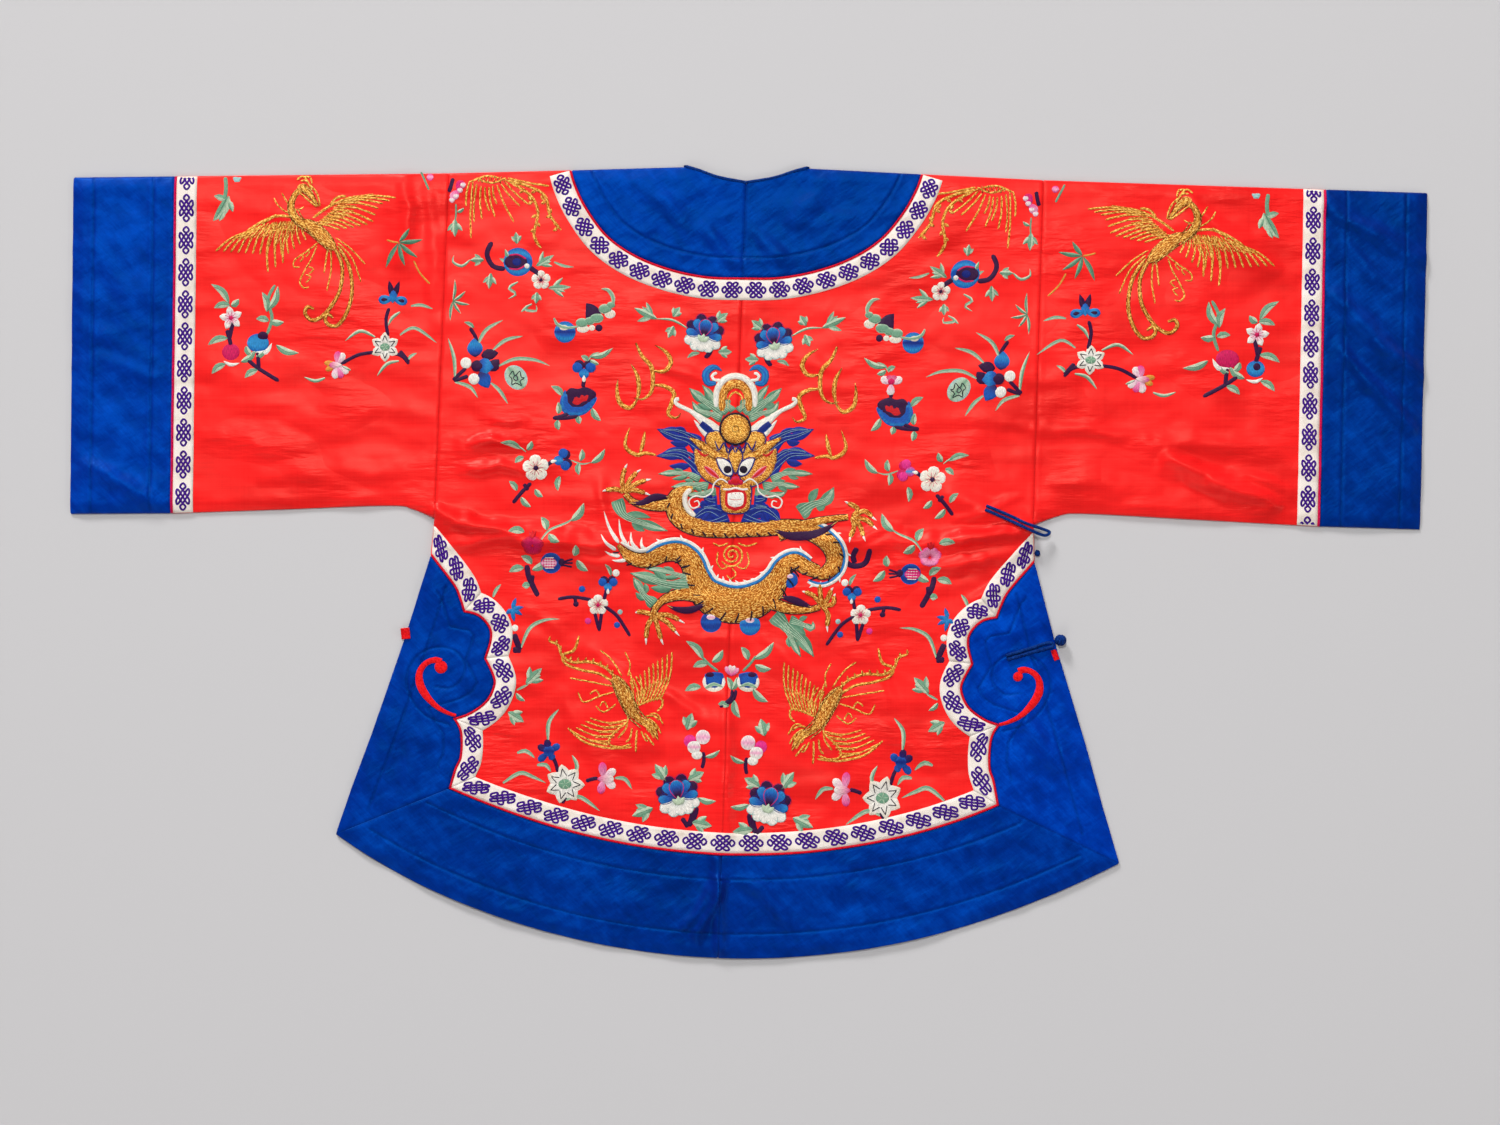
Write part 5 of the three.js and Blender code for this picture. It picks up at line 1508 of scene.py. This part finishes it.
def lowPhoenix(pen, side):
    feathers(pen, (638, 706, 650, 702, 660, 700), (640, 674, 655, 662, 672, 652), 8, 0.9)
    feathers(pen, (633, 706, 645, 704), (630, 680, 636, 676), 3, 0.9)
    feathers(pen, (627, 720, 618, 731, 611, 741), (590, 718, 581, 724, 572, 731), 5, 0.8, -0.1)
    goldLines(pen, [(632, 708, 648, 701, 661, 698, 662, 706, 657, 711),
                    (627, 722, 612, 735, 609, 744, 620, 747, 631, 744),
                    (568, 728, 585, 742, 610, 748, 632, 747), (608, 745, 590, 740)], 1.1)
    tail = [(617, 680, 606, 668, 590, 662, 572, 662, 562, 655, 558, 645, 549, 641),
            (616, 684, 600, 674, 582, 670, 566, 664, 563, 655, 574, 650, 579, 636),
            (622, 676, 612, 660, 600, 650), (628, 676, 630, 664, 625, 652), (634, 688, 630, 672),
            (612, 686, 592, 682, 570, 678), (614, 692, 600, 696, 584, 702, 578, 692),
            (616, 704, 604, 712, 596, 706), (600, 696, 596, 690, 590, 694), (608, 708, 604, 701, 600, 706)]
    goldLines(pen, tail[:2], 1.4, ("edges", "lightGold", "gold"))
    goldLines(pen, tail[2:], 0.8)
    for x, y in evenly(tail[0], 8):
        petal(pen, (x, y), -75, 0, 5, 1.2, "straw", 0.3, "leaf")
    phoenixBody(pen, (652, 728, 645, 723, 637, 717, 630, 706), (613, 675, 624, 692, 634, 718), 7.6)
    goldLines(pen, [(616, 676, 630, 690, 638, 708, 650, 722), (611, 680, 618, 698, 628, 716, 641, 728)], 0.7,
              "darkGold", 0.3, 1.1)
    pen.blade((646, 720, 653, 728, 658, 740), 5.0, goldRound, "taper", 0.9, 0.4)
    goldLines(pen, [(642, 724, 649, 729, 654, 738), (648, 718, 656, 724, 661, 733),
                    (650, 714, 657, 714, 663, 724)], 0.8, "lightGold", 0.6, 0.9)
    goldLines(pen, [(632, 728, 630, 738, 626, 742), (637, 730, 636, 744, 636, 752),
                    (641, 731, 645, 739, 648, 741), (646, 716, 654, 716, 659, 720),
                    (645, 733, 650, 740, 654, 745), (628, 716, 626, 728, 618, 738)], 1.0)
    pen.done(f"hem_phoenix_{side}", "goldThread")


def curlMotif(pen, side):  # the red silk curl that leaves the piping at the ribbon's notch
    pen.blade((456, 715.5, 448, 713, 438, 707.5, 428.5, 698.5, 421.5, 688, 419, 678, 421, 669, 427, 662.5,
               435, 660, 441, 662), 3.9, "red", [0.4, 0.5, 0.62, 0.8, 1.0, 1.05, 0.9, 0.72, 0.72, 0.9], 1.0,
              rows=8)
    pen.dot((441, 667), 6.4 if side == "left" else 4.8, "red", 1.0, 0.1)
    pen.done(f"curl_{side}", "redCord", [f"curl_{side}"])


eachSide(curlMotif, (2, 3))
eachSide(sleeveMotifs, (-7, 5))
eachSide(sleevePhoenix, (-8, 3))
eachSide(shoulderMotifs, (-9, 4))
eachSide(bodyMotifs, (-3, 7))
eachSide(lowMotifs, (-1, 5))
eachSide(lowPhoenix, (-2, 9))
print("flowers and birds made")


# The dragon, drawn in the picture's pixels about an axis down its head
axis = 735.5


def bothSides(draw):  # the head's left and right
    draw(spots)
    draw(lambda path: spots(path) * (-1, 1) + (2 * axis, 0))


silk, metal = Stitching(), Stitching()


def outlined(pen, outline, colour, rise=0.8, level=0.0, edge=3.0, rim="ink", width=0.55):
    outline = spots(outline)
    pen.fill(outline, colour, rise, level, edge)
    ring = curveThrough(join(outline, outline[:1]), 10 * len(outline))
    silk.line(ring, width, rim, 0.3, level + 0.35)


def couched(path, width, shape, level=0.0, rise=1.2, rim=True):
    # a painted highlight down the middle of the gold and painted shade at its edges
    metal.blade(path, width, ("edges", "straw", "gold", "gold", "darkGold"), shape, rise, level, rows=12)
    if rim:
        line = evenly(curveThrough(path, 60), 1.5)
        t = np.linspace(0, 1, len(line))
        half = width * profile(shape, t)
        for s in (-1, 1):
            silk.line(line + normalsOf(line) * (half * s)[:, None], 0.5, "ink", 0.3, level + 0.15)


def ribs(path, width, count, side, level=0.0):  # the belly's dark bars
    line = evenly(curveThrough(path, 60), 1.0)
    at = np.linspace(2, len(line) - 3, count).astype(int)
    for p, n in zip(line[at], normalsOf(line)[at]):
        silk.line([p + n * side * width, p + n * side * width * 0.75 + (n[1] * 2.4, -n[0] * 2.4),
                   p + n * side * width * 0.45 + (n[1] * 4, -n[0] * 4)], 0.8, "ink", 0.35, level + 1.2)


# a tongue with side tips and pale lines in it
def flame(path, width, hues=("sides", "leaf", "deepLeaf"), vein="paleLeaf", fine=0.26,
          lines=(-0.6, -0.2, 0.2, 0.6)):
    line = evenly(curveThrough(path, 40), 1.5)
    normal, last = normalsOf(line), len(line) - 1
    for at, lean, reach in ((0.3, 1, 0.5), (0.42, -1, 0.42)):
        k = int(last * at)
        along = (line[last] - line[k]) * reach
        root = line[k] + normal[k] * lean * width * 0.35
        silk.blade([root, root + along * 0.5 + normal[k] * lean * width * 0.55,
                    root + along + normal[k] * lean * width * 0.75], width * 0.55, hues, "leaf", 0.7, 0.05,
                   rows=6)
    silk.blade(path, width, hues, "flame", 0.8, 0.0, rows=8)
    for s in lines:
        silk.line((line + normal * s * width * np.linspace(1, 0.1, len(line))[:, None])[1:-2], fine, vein,
                  0.25, 0.8)


def claw(wrist, toes):
    for knuckle, tip in toes:
        couched([wrist, knuckle, tip], 2.4, "stem", 0.2, 0.9, rim=False)
        (x1, y1), (x2, y2) = knuckle, tip
        silk.blade([tip, (x2 + (x2 - x1) * 0.45 + 1, y2 + (y2 - y1) * 0.45 + 1)], 1.3, "white", "taper", 0.5,
                   0.3)


# body, from the head's nape round under it, down the right, through the low wave and out to the tail
upper = [(693, 489), (681, 492), (674, 504), (680, 518), (698, 527), (725, 530), (760, 529), (785, 527),
         (806, 530), (824, 539), (834, 552), (833, 566), (822, 574), (812, 571)]
lower = [(818, 572), (806, 567), (795, 561), (784, 567), (777, 580), (767, 593), (752, 602), (735, 605),
         (718, 601), (704, 591), (697, 577), (691, 561), (679, 552), (664, 553), (648, 560), (632, 558),
         (618, 545)]
couched(upper, 9.5, [0.35, 0.85, 1, 1, 0.88, 0.8, 0.78, 0.8, 0.84, 0.95, 1, 1, 0.8, 0.4], 0.2)
lowerWidths = [0.45, 0.55, 0.62, 0.72, 0.95, 1.16, 1.26, 1.28, 1.22, 1.02, 0.85, 0.78, 0.68, 0.6, 0.52, 0.42,
               0.1]
couched(lower, 14.5, lowerWidths, 0.1)
ribs(upper[2:9], 7.6, 14, -1, 0.2)
ribs(upper[9:], 9.0, 6, 1, 0.2)
ribs(lower[3:10], 17.6, 10, 1, 0.1)
ribs(lower[9:13], 11.5, 5, 1, 0.1)
ribs(lower[:4], 8.4, 4, 1, 0.1)
ribs(lower[11:], 9.0, 6, 1, 0.1)
back = evenly(curveThrough(lower[1:], 80), 1.0)
wide = 14.5 * profile(lowerWidths[1:], np.linspace(0, 1, len(back)))
upside = -normalsOf(back)
edge = back + upside * (wide * 0.98)[:, None]
silk.blade(edge[: int(len(edge) * 0.86)], 1.7, ("edges", "sky", "blue"), "stem", 0.7, 0.5)
silk.blade(back + upside * (wide * 0.98 + 2.6)[:, None], 1.9, "white", "stem", 0.7, 0.3)
outer = evenly(curveThrough(upper[8:], 40), 1.0)
silk.blade(outer + normalsOf(outer) * 9.6, 1.4, ("edges", "sky", "blue"), "stem", 0.7, 0.4)
silk.blade(outer + normalsOf(outer) * 11.8, 1.7, "white", "stem", 0.7, 0.3)
for line, lean, off in ((back, -1, wide + 2.6), (outer, 1, np.full(len(outer), 12.0))):
    normal = normalsOf(line)
    for k in range(10, len(line) - 4, 15):
        p, n = line[k] + normal[k] * off[k] * lean, normal[k] * lean
        silk.blade([p, p + n * 4.2 + (-n[1] * 3.2 * lean, n[0] * 3.2 * lean)], 1.5, "white", "taper", 0.5,
                   0.2)
for base, tip in (((619, 543), (604, 511)), ((627, 546), (619, 519)), ((636, 549), (631, 532)),
                  ((645, 551), (642, 537)), ((616, 550), (601, 534)), ((620, 556), (605, 551)),
                  ((626, 560), (612, 560))):
    silk.blade([base, ((base[0] + tip[0]) / 2 - 2, (base[1] + tip[1]) / 2 + 1), tip], 2.2, "white", "taper",
               0.6, 0.1)

# legs
silk.blade((691, 489, 685, 496, 687, 508, 695, 516), 2.6, ("edges", "white", "cream"), "stem", 0.6, 1.3)
legs = (
    ((676, 503, 655, 506, 636, 503, 625, 494), 6.0, (624, 492),
     [((616, 489), (606, 490)), ((622, 480), (625, 468)), ((630, 480), (637, 472)), ((636, 484), (646, 480)),
      ((634, 490), (645, 493))]),
    ((778, 535, 800, 527, 825, 520, 848, 517), 6.5, (852, 517),
     [((858, 509), (848, 503)), ((864, 511), (872, 517)), ((866, 520), (873, 526)), ((860, 526), (863, 536)),
      ((854, 527), (850, 537))]),
    ((704, 597, 684, 594, 665, 599, 655, 609, 654, 617), 7.0, (654, 615),
     [((643, 612), (637, 612)), ((648, 625), (646, 638)), ((658, 628), (661, 639)), ((667, 622), (675, 631)),
      ((668, 615), (679, 620))]),
    ((764, 600, 786, 608, 806, 610, 820, 607), 6.5, (822, 606),
     [((814, 596), (805, 592)), ((820, 592), (820, 584)), ((828, 598), (831, 590)), ((833, 604), (834, 596)),
      ((828, 614), (827, 626))]),
)
for path, width, wrist, toes in legs:
    couched(path, width, [1, 0.95, 0.75, 0.5, 0.45], 0.3, 1.1)
    claw(wrist, toes)
for path, width in (((670, 497, 655, 497, 642, 503, 629, 503), 3.6),
                    ((774, 530, 792, 536, 818, 533, 838, 521), 4.6),
                    ((706, 604, 690, 610, 676, 609, 667, 605), 3.6),
                    ((780, 597, 794, 600, 806, 605, 814, 608), 3.6)):
    silk.blade(path, width, ("edges", "plum", "plum"), "leaf", 0.6, 1.3)
    silk.line(path, 0.35, "lightGold", 0.3, 1.75)
for path, width in (((617, 500, 624, 515, 642, 523, 668, 531), 6.5),
                    ((800, 513, 812, 505, 826, 500, 834, 487), 8),
                    ((691, 586, 668, 584, 648, 578, 630, 573), 8),
                    ((694, 580, 672, 573, 657, 570, 645, 569), 4.5),
                    ((654, 604, 645, 596, 640, 588, 633, 577), 6),
                    ((774, 615, 788, 628, 802, 640, 814, 657), 8),
                    ((790, 620, 802, 624, 812, 628, 813, 621), 5),
                    ((782, 622, 790, 636, 796, 648, 801, 657), 5)):
    flame(path, width)

# head: crest, flames, horns, orb, mane, face
arch = (716, 407, 717, 391, 724, 380, axis, 376, 747, 380, 754, 391, 755, 407)
silk.blade(arch, 3.2, whiteRound, "stem", 0.9, 0.4)
metal.blade((722, 411, 723, 394, 729, 386, axis, 384, 742, 386, 748, 394, 749, 411), 4.4,
            ("edges", "straw", "gold"), "stem", 1.0, 0.2, rows=8)
metal.line((728, 411, 729, 398, axis, 392, 742, 398, 743, 411), 0.9, "lightGold", 0.5, 0.4)


def headHalf(side):
    silk.blade(side((716, 383, 708, 383, 706, 373, 714, 367, 722, 371)), 4.0,
               ("edges", "blue", "sky", "navy"), "grass", 0.8)
    silk.blade(side((720, 380, 714, 380, 712, 375, 717, 373)), 1.5, "white", "stem", 0.6, 0.5)
    for path, width in (((724, 414, 712, 406, 700, 398, 689, 388), 6.5),
                        ((728, 412, 716, 402, 708, 392, 702, 385), 5),
                        ((722, 418, 708, 413, 698, 410, 692, 401), 5),
                        ((733, 411, 726, 402, 718, 396), 3.6)):
        flame(side(path), width)
    silk.blade(side((719, 432, 706, 423, 692, 412, 678, 405, 675, 400, 679, 399)), 4.8, whiteRound,
               [1.0, 1.15, 0.75, 0.42, 0.45, 0.4], 1.0, 0.3)
    silk.blade(side((716, 441, 704, 432, 694, 420)), 4.2, "white", "taper", 0.9, 0.2)
    silk.blade(side((713, 433, 707, 428, 701, 423)), 4.4, ("edges", "navy", "navy", "blue"),
               [0.7, 1, 0.95, 0.8], 0.8, 0.8)
    for path, width in (((702, 449, 688, 440, 674, 436, 657, 429), 6.0),
                        ((700, 441, 688, 434, 675, 430, 660, 430), 3.5),
                        ((703, 474, 690, 462, 678, 455, 656, 456), 6.0),
                        ((700, 462, 688, 453, 676, 450, 662, 453), 3.6),
                        ((722, 514, 710, 509, 700, 513, 690, 522), 7.0),
                        ((728, 516, 718, 520, 706, 523, 696, 523), 5.0),
                        ((717, 500, 710, 500, 703, 497), 4.4), ((717, 507, 709, 507, 701, 508), 4.4)):
        flame(side(path), width * 1.2, ("edges", "navy", "mane", "mane"), "mist", 0.15, (-0.3, 0.45))
    for path, width in (((700, 479, 688, 474, 676, 473, 658, 474), 4.6),
                        ((708, 487, 692, 484, 682, 486, 671, 487), 4.6),
                        ((716, 492, 704, 493, 692, 495, 684, 491), 4.4)):
        flame(side(path), width)
    outlined(metal,
             side((694, 447, 705, 452, 717, 460, 728, 462, 731, 478, 722, 487, 708, 482, 699, 474,
                   694, 462)), ("edges", "straw", "gold", "darkGold"), 1.2, 0.3, rim="navy")
    metal.blade(side((731, 458, 716, 455, 703, 446, 690, 438)), 5.0, goldRound, [0.5, 1, 0.9, 0.25], 0.9,
                1.0, rows=8)
    silk.blade(side((697, 449, 701, 454, 706, 456, 710, 452)), 1.3, "red", "leaf", 0.4, 1.5)
    silk.blade(side((704, 466, 711, 472, 720, 479)), 3.0, ("edges", "red", "red", "palePink"), "leaf", 0.7,
               1.4)
    outlined(silk, side((716, 458, 723, 458, 731, 464, 732.5, 475, 725, 475, 719, 467)), "white", 0.7, 1.4,
             rim="navy", width=0.7)
    silk.dot(side([(727.5, 469.5)])[0], 4.0, ("edges", "ink", "ink"), 0.6, 2.0)
    silk.line(side((729, 484, 721, 479, 714, 484, 712, 492, 704, 497, 695, 496, 689, 501, 692, 508, 699, 506,
                    698, 501, 694, 502)), 0.75, "white", 0.5, 1.9)
    outlined(metal,
             side((axis, 452, 727, 447, 722, 433, 711, 431, 705, 438, 708, 446, 719, 452, 727, 458,
                   axis, 460)), goldRound, 1.2, 0.9, rim="navy")


bothSides(headHalf)
outlined(metal, [polar((axis, 429), a, 15.2) for a in range(0, 360, 30)], goldRound, 1.5, 1.6, 5,
         "ink", 1.2)
silk.line((715, 441, 719, 450, 724, 443, 728, 453, 732, 445, axis, 453, 739, 445, 743, 453, 747, 443,
           752, 450, 756, 441), 0.75, "navy", 0.4, 3.4)
for k in range(3):
    ring = [polar((axis, 429), a, 3.2 + 3.4 * k) for a in range(0, 370, 30)]
    metal.line(ring, 0.55, "darkGold", 0.3, 3.1 - 0.4 * k)
outlined(metal, (728, 457, 731, 450, axis, 447, 740, 450, 743, 457, 740, 464, 738, 470, axis, 474, 733, 470,
                 731, 464), ("edges", "lightGold", "gold"), 1.2, 1.9, rim="navy")
outlined(metal, (720, 486, 728, 481, axis, 484, 743, 481, 751, 486, 751, 500, 748, 511, axis, 514, 723, 511,
                 720, 500), ("edges", "straw", "gold", "darkGold"), 1.2, 0.9, rim="navy")
silk.fill((725, 491, axis, 488, 746, 491, 746, 506, axis, 511, 725, 506), "red", 0.4, 2.0)
silk.fill((727.5, 493.5, axis, 492, 743.5, 493.5, 743, 504.5, axis, 507.5, 728, 504.5), "white", 0.7, 2.3, 2)
for x in (731.5, axis, 739.5):
    silk.line([(x, 493), (x, 505)], 0.35, "red", 0.2, 2.9)
silk.line((729, 499, axis, 500, 742, 499), 0.45, "red", 0.2, 2.95)
silk.dot((axis, 481), 4.8, ("edges", "red", "red", "rose"), 1.0, 2.0, 0.95)
for x in (730.5, 740.5):
    silk.dot((x, 482.5), 2.7, ("edges", "red", "rose"), 0.9, 2.0)
silk.line((723, 489, 729, 489.5, axis, 488, 742, 489.5, 748, 489), 1.0, "white", 0.4, 2.3)

# pearl, roundels under the belly, clouds and a small hook by the tail
spiral = [polar((732, 555), a, 1.2 + 0.0125 * a) for a in range(0, 900, 30)]
metal.line(spiral, 0.95, "lightGold", 0.6, 0.0, rows=4)
goldLines(metal, [(718, 552, 717, 562, 722, 569, 728, 566), (747, 552, 749, 562, 744, 569, 737, 566),
                  (728, 543, 720, 546, 713, 543), (738, 543, 747, 546, 757, 543),
                  (732, 568, 736, 574, 731, 579, 727, 575)], 0.8)
for x, y, r, hue in ((711, 622, 10.5, "navy"), (750, 625, 10.5, "sky"), (790, 580, 8, "blue")):
    silk.dot((x, y), r, ("edges", "blue", hue, "blue"), 0.8)
    silk.dot((x, y - r * 0.45), r * 0.42, ("edges", "palePink", "white"), 0.5, 0.6, 0.7)
stems(silk, (846, 561, 850, 565, 858, 566, 866, 562, 870, 549), (855, 563, 853, 556, 857, 548), width=2.2)
clouds = [
    (636, 343, 642, 356, 651, 366, 653, 378, 651, 392, 643, 399, 634, 398),
    (654, 371, 665, 371, 671, 362, 666, 352, 655, 345),
    (653, 385, 664, 386, 674, 393, 671, 405, 668, 414, 676, 418, 681, 413),
    (637, 400, 630, 408, 620, 403, 617, 391, 618, 379), (637, 400, 639, 388, 637, 375, 631, 364),
]
wisps = [(656, 455, 645, 453, 638, 455, 629, 451, 625, 443, 630, 427), (640, 453, 643, 443, 645, 431)]
for paths, width, aside, down in ((clouds, 2.3, 2, 4), (wisps, 2.1, 0, 3)):
    for path in paths:
        for scroll in (path, [(2 * axis - x + aside, y + down) for x, y in spots(path)]):
            metal.blade(scroll, width, goldCord, "grass", 0.9)
            if paths is clouds:
                goldLines(metal, [scroll], 0.5, "darkGold", 0.3, 0.6)
silk.done("dragon_silk")
metal.done("dragon_gold", "goldThread")

# the twin blossom under the dragon, on the centre seam
middle = Stitching()
stems(middle, (732, 690, 731, 698, 720, 707), (736, 690, 733, 700, 722, 706), width=1.4)
stems(middle, (718, 671, 710, 665, 702, 657), (743, 671, 750, 664, 756, 656), width=1.0, hue="leaf")
leaves(middle, [(703, 659, 686, 641), (754, 659, 774, 642), (712, 662, 723, 650), (708, 664, 693, 667),
                (748, 660, 741, 647), (755, 665, 771, 669), (701, 687, 685, 691), (753, 689, 768, 702),
                (734, 700, 740, 718), (729, 706, 718, 704)], 3.2)
for x, turn in ((714, 1), (748, -1)):
    middle.dot((x, 682), 11.5, whiteRound, 0.7, 0.0, 0.85)
    middle.fill([(x - 9, 674), (x, 672), (x + 9, 674), (x + 9, 684), (x, 689), (x - 9, 684)],
                ("edges", "blue", "navy", "blue"), 0.8, 0.2)
    middle.dot((x - 4 * turn, 675), 4.2, "plum", 0.5, 0.7, 0.7)
    middle.blade([(x - 9 * turn, 688), (x, 684), (x + 9 * turn, 687)], 2.4, ("edges", "leaf", "paleLeaf"),
                 "leaf", 0.6, 0.7)
for angle, hue in ((-120, "palePink"), (-95, "white"), (-70, "white"), (-45, "palePink")):
    petal(middle, (731, 676), angle, 0, 11, 2.6, ("along", "pink", hue), 0.4)
leaves(middle, [(731, 690, 727, 677), (732, 690, 737, 677)], 2.6)
middle.done("centre_blossom")
print("dragon made")

# The ribbons' endless knots, worked from their nine crossings
knotTurns = [
    (-2, 0), (-1, 1), (0, 2), (1.25, 2.9), (0, 3.87), (-1.25, 2.9), (0, 2), (1, 1), (2, 0), (2.9, -1.05),
    (2.6, -2.15), (1.75, -1.8), (1, -1), (0, 0), (-1, 1), (-1.75, 1.8), (-2.6, 2.15), (-2.9, 1.05), (-2, 0),
    (-1, -1), (0, -2), (1.25, -2.9), (0, -3.87), (-1.25, -2.9), (0, -2), (1, -1), (2, 0), (2.9, 1.05),
    (2.6, 2.15), (1.75, 1.8), (1, 1), (0, 0), (-1, -1), (-1.75, -1.8), (-2.6, -2.15), (-2.9, -1.05), (-2, 0),
]
knotLine = curveThrough(knotTurns, 120)
pitches = {"neck": 23.0, "hem_": 26.6, "side": 26.6}
cuffPitch = {"cuff_ribbon_left": 30.6, "cuff_ribbon_right": 29.6}
strands = []
for name, pairs in ribbons.items():
    for first, last in pairs:
        centre = (first + last) / 2
        along = lengthsTo(centre)
        if name in cuffPitch:
            pitch, reach = cuffPitch[name], 2.15
            middles = [pitch * k for k in range(12)]
        else:
            count = max(1, int(round(along[-1] / pitches[name[:4]])))
            pitch, reach = along[-1] / count, 2.4
            middles = [pitch * (k + 0.5) for k in range(count)]
        for at in middles:
            run = at + knotLine[:, 1] * 3.3 * pitch / 30.6
            aside = knotLine[:, 0] * reach / (ribbonFar - ribbonNear)
            line = np.column_stack([np.interp(run, along, centre[:, c]) for c in range(2)])
            line += np.column_stack([np.interp(run, along,
                                               (last - first)[:, c]) for c in range(2)]) * aside[:, None]
            normal = normalsOf(line)
            over = 0.12 * np.sin(np.arange(len(line)) * math.pi / 3.33)
            shown = np.flatnonzero((run > 1) & (run < along[-1] - 1))
            for part in np.split(shown, np.flatnonzero(np.diff(shown) > 1) + 1):
                if len(part) < 3:
                    continue
                rail = np.vstack([(line + normal * w)[part] for w in (-1.0, -0.55, 0.55, 1.0)])
                rise = np.concatenate([h + over[part] for h in (0.0, 0.22, 0.22, 0.0)])
                strands.append((rail, rise, len(part)))
flat, heights = np.vstack([s[0] for s in strands]), np.concatenate([s[1] for s in strands])
faces, start = [], 0
for _, h, n in strands:
    i = np.arange(n - 1)
    for row in range(3):
        q = start + row * n + i
        faces += np.column_stack([q, q + n, q + n + 1, q + 1]).tolist()
    start += 4 * n
top = backSurface(flat) + cloth["gap"] * 0.3 + trim["stripThickness"] + 0.1 + heights
addPiece("ribbon_knots", np.column_stack([flat, top]), faces, "knots")
print("knots made")

# Floor, light and camera
floorMesh = bpy.data.meshes.new("floor")
floorMesh.from_pydata([(-4, -4, 0), (4, -4, 0), (4, 4, 0), (-4, 4, 0)], [], [(0, 1, 2, 3)])
floor = bpy.data.objects.new("floor", floorMesh)
bpy.context.collection.objects.link(floor)
floorPaint = Paint("paperFloor", Roughness=0.9)
floorPaint.shader.inputs["Base Color"].default_value = (*linear(193, 191, 192), 1)
floorMesh.materials.append(floorPaint.material)


def softBox(name, at, size, power):  # turned towards the middle of the floor
    light = bpy.data.lights.new(name, "AREA")
    light.shape, light.size, light.energy = "SQUARE", size, power
    lamp = bpy.data.objects.new(name, light)
    lamp.location = at
    lamp.rotation_euler = (-Vector(at)).to_track_quat("-Z", "Y").to_euler()
    bpy.context.collection.objects.link(lamp)


softBox("softBoxTop", (-4.8, 12.0, 5.8), 3.0, 1640)
softBox("softBoxOver", (-0.3, 1.6, 4.4), 0.8, 92)
softBox("softBoxRight", (5.0, -1.6, 3.4), 2.2, 40)
softBox("softBoxLow", (-1.6, -5.4, 4.6), 2.6, 70)
world = bpy.data.worlds.new("studio")
world.use_nodes = True
world.node_tree.nodes["Background"].inputs["Color"].default_value = (1, 1, 1, 1)
world.node_tree.nodes["Background"].inputs["Strength"].default_value = 0.29
bpy.context.scene.world = world
bpy.context.scene.view_settings.view_transform = "Standard"

camera = {"lens": 85, "sensor": 36, "width": 1432.8, "aim": place(750, 562.5)}
lens = bpy.data.cameras.new("camera")
lens.lens, lens.sensor_width = camera["lens"], camera["sensor"]
eye = bpy.data.objects.new("camera", lens)
away = camera["lens"] / camera["sensor"] * camera["width"] + cloth["restHeight"]
eye.location = (camera["aim"][0] / 1000, camera["aim"][1] / 1000, away / 1000)
bpy.context.collection.objects.link(eye)
bpy.context.scene.camera = eye
print("floor, light and camera set")
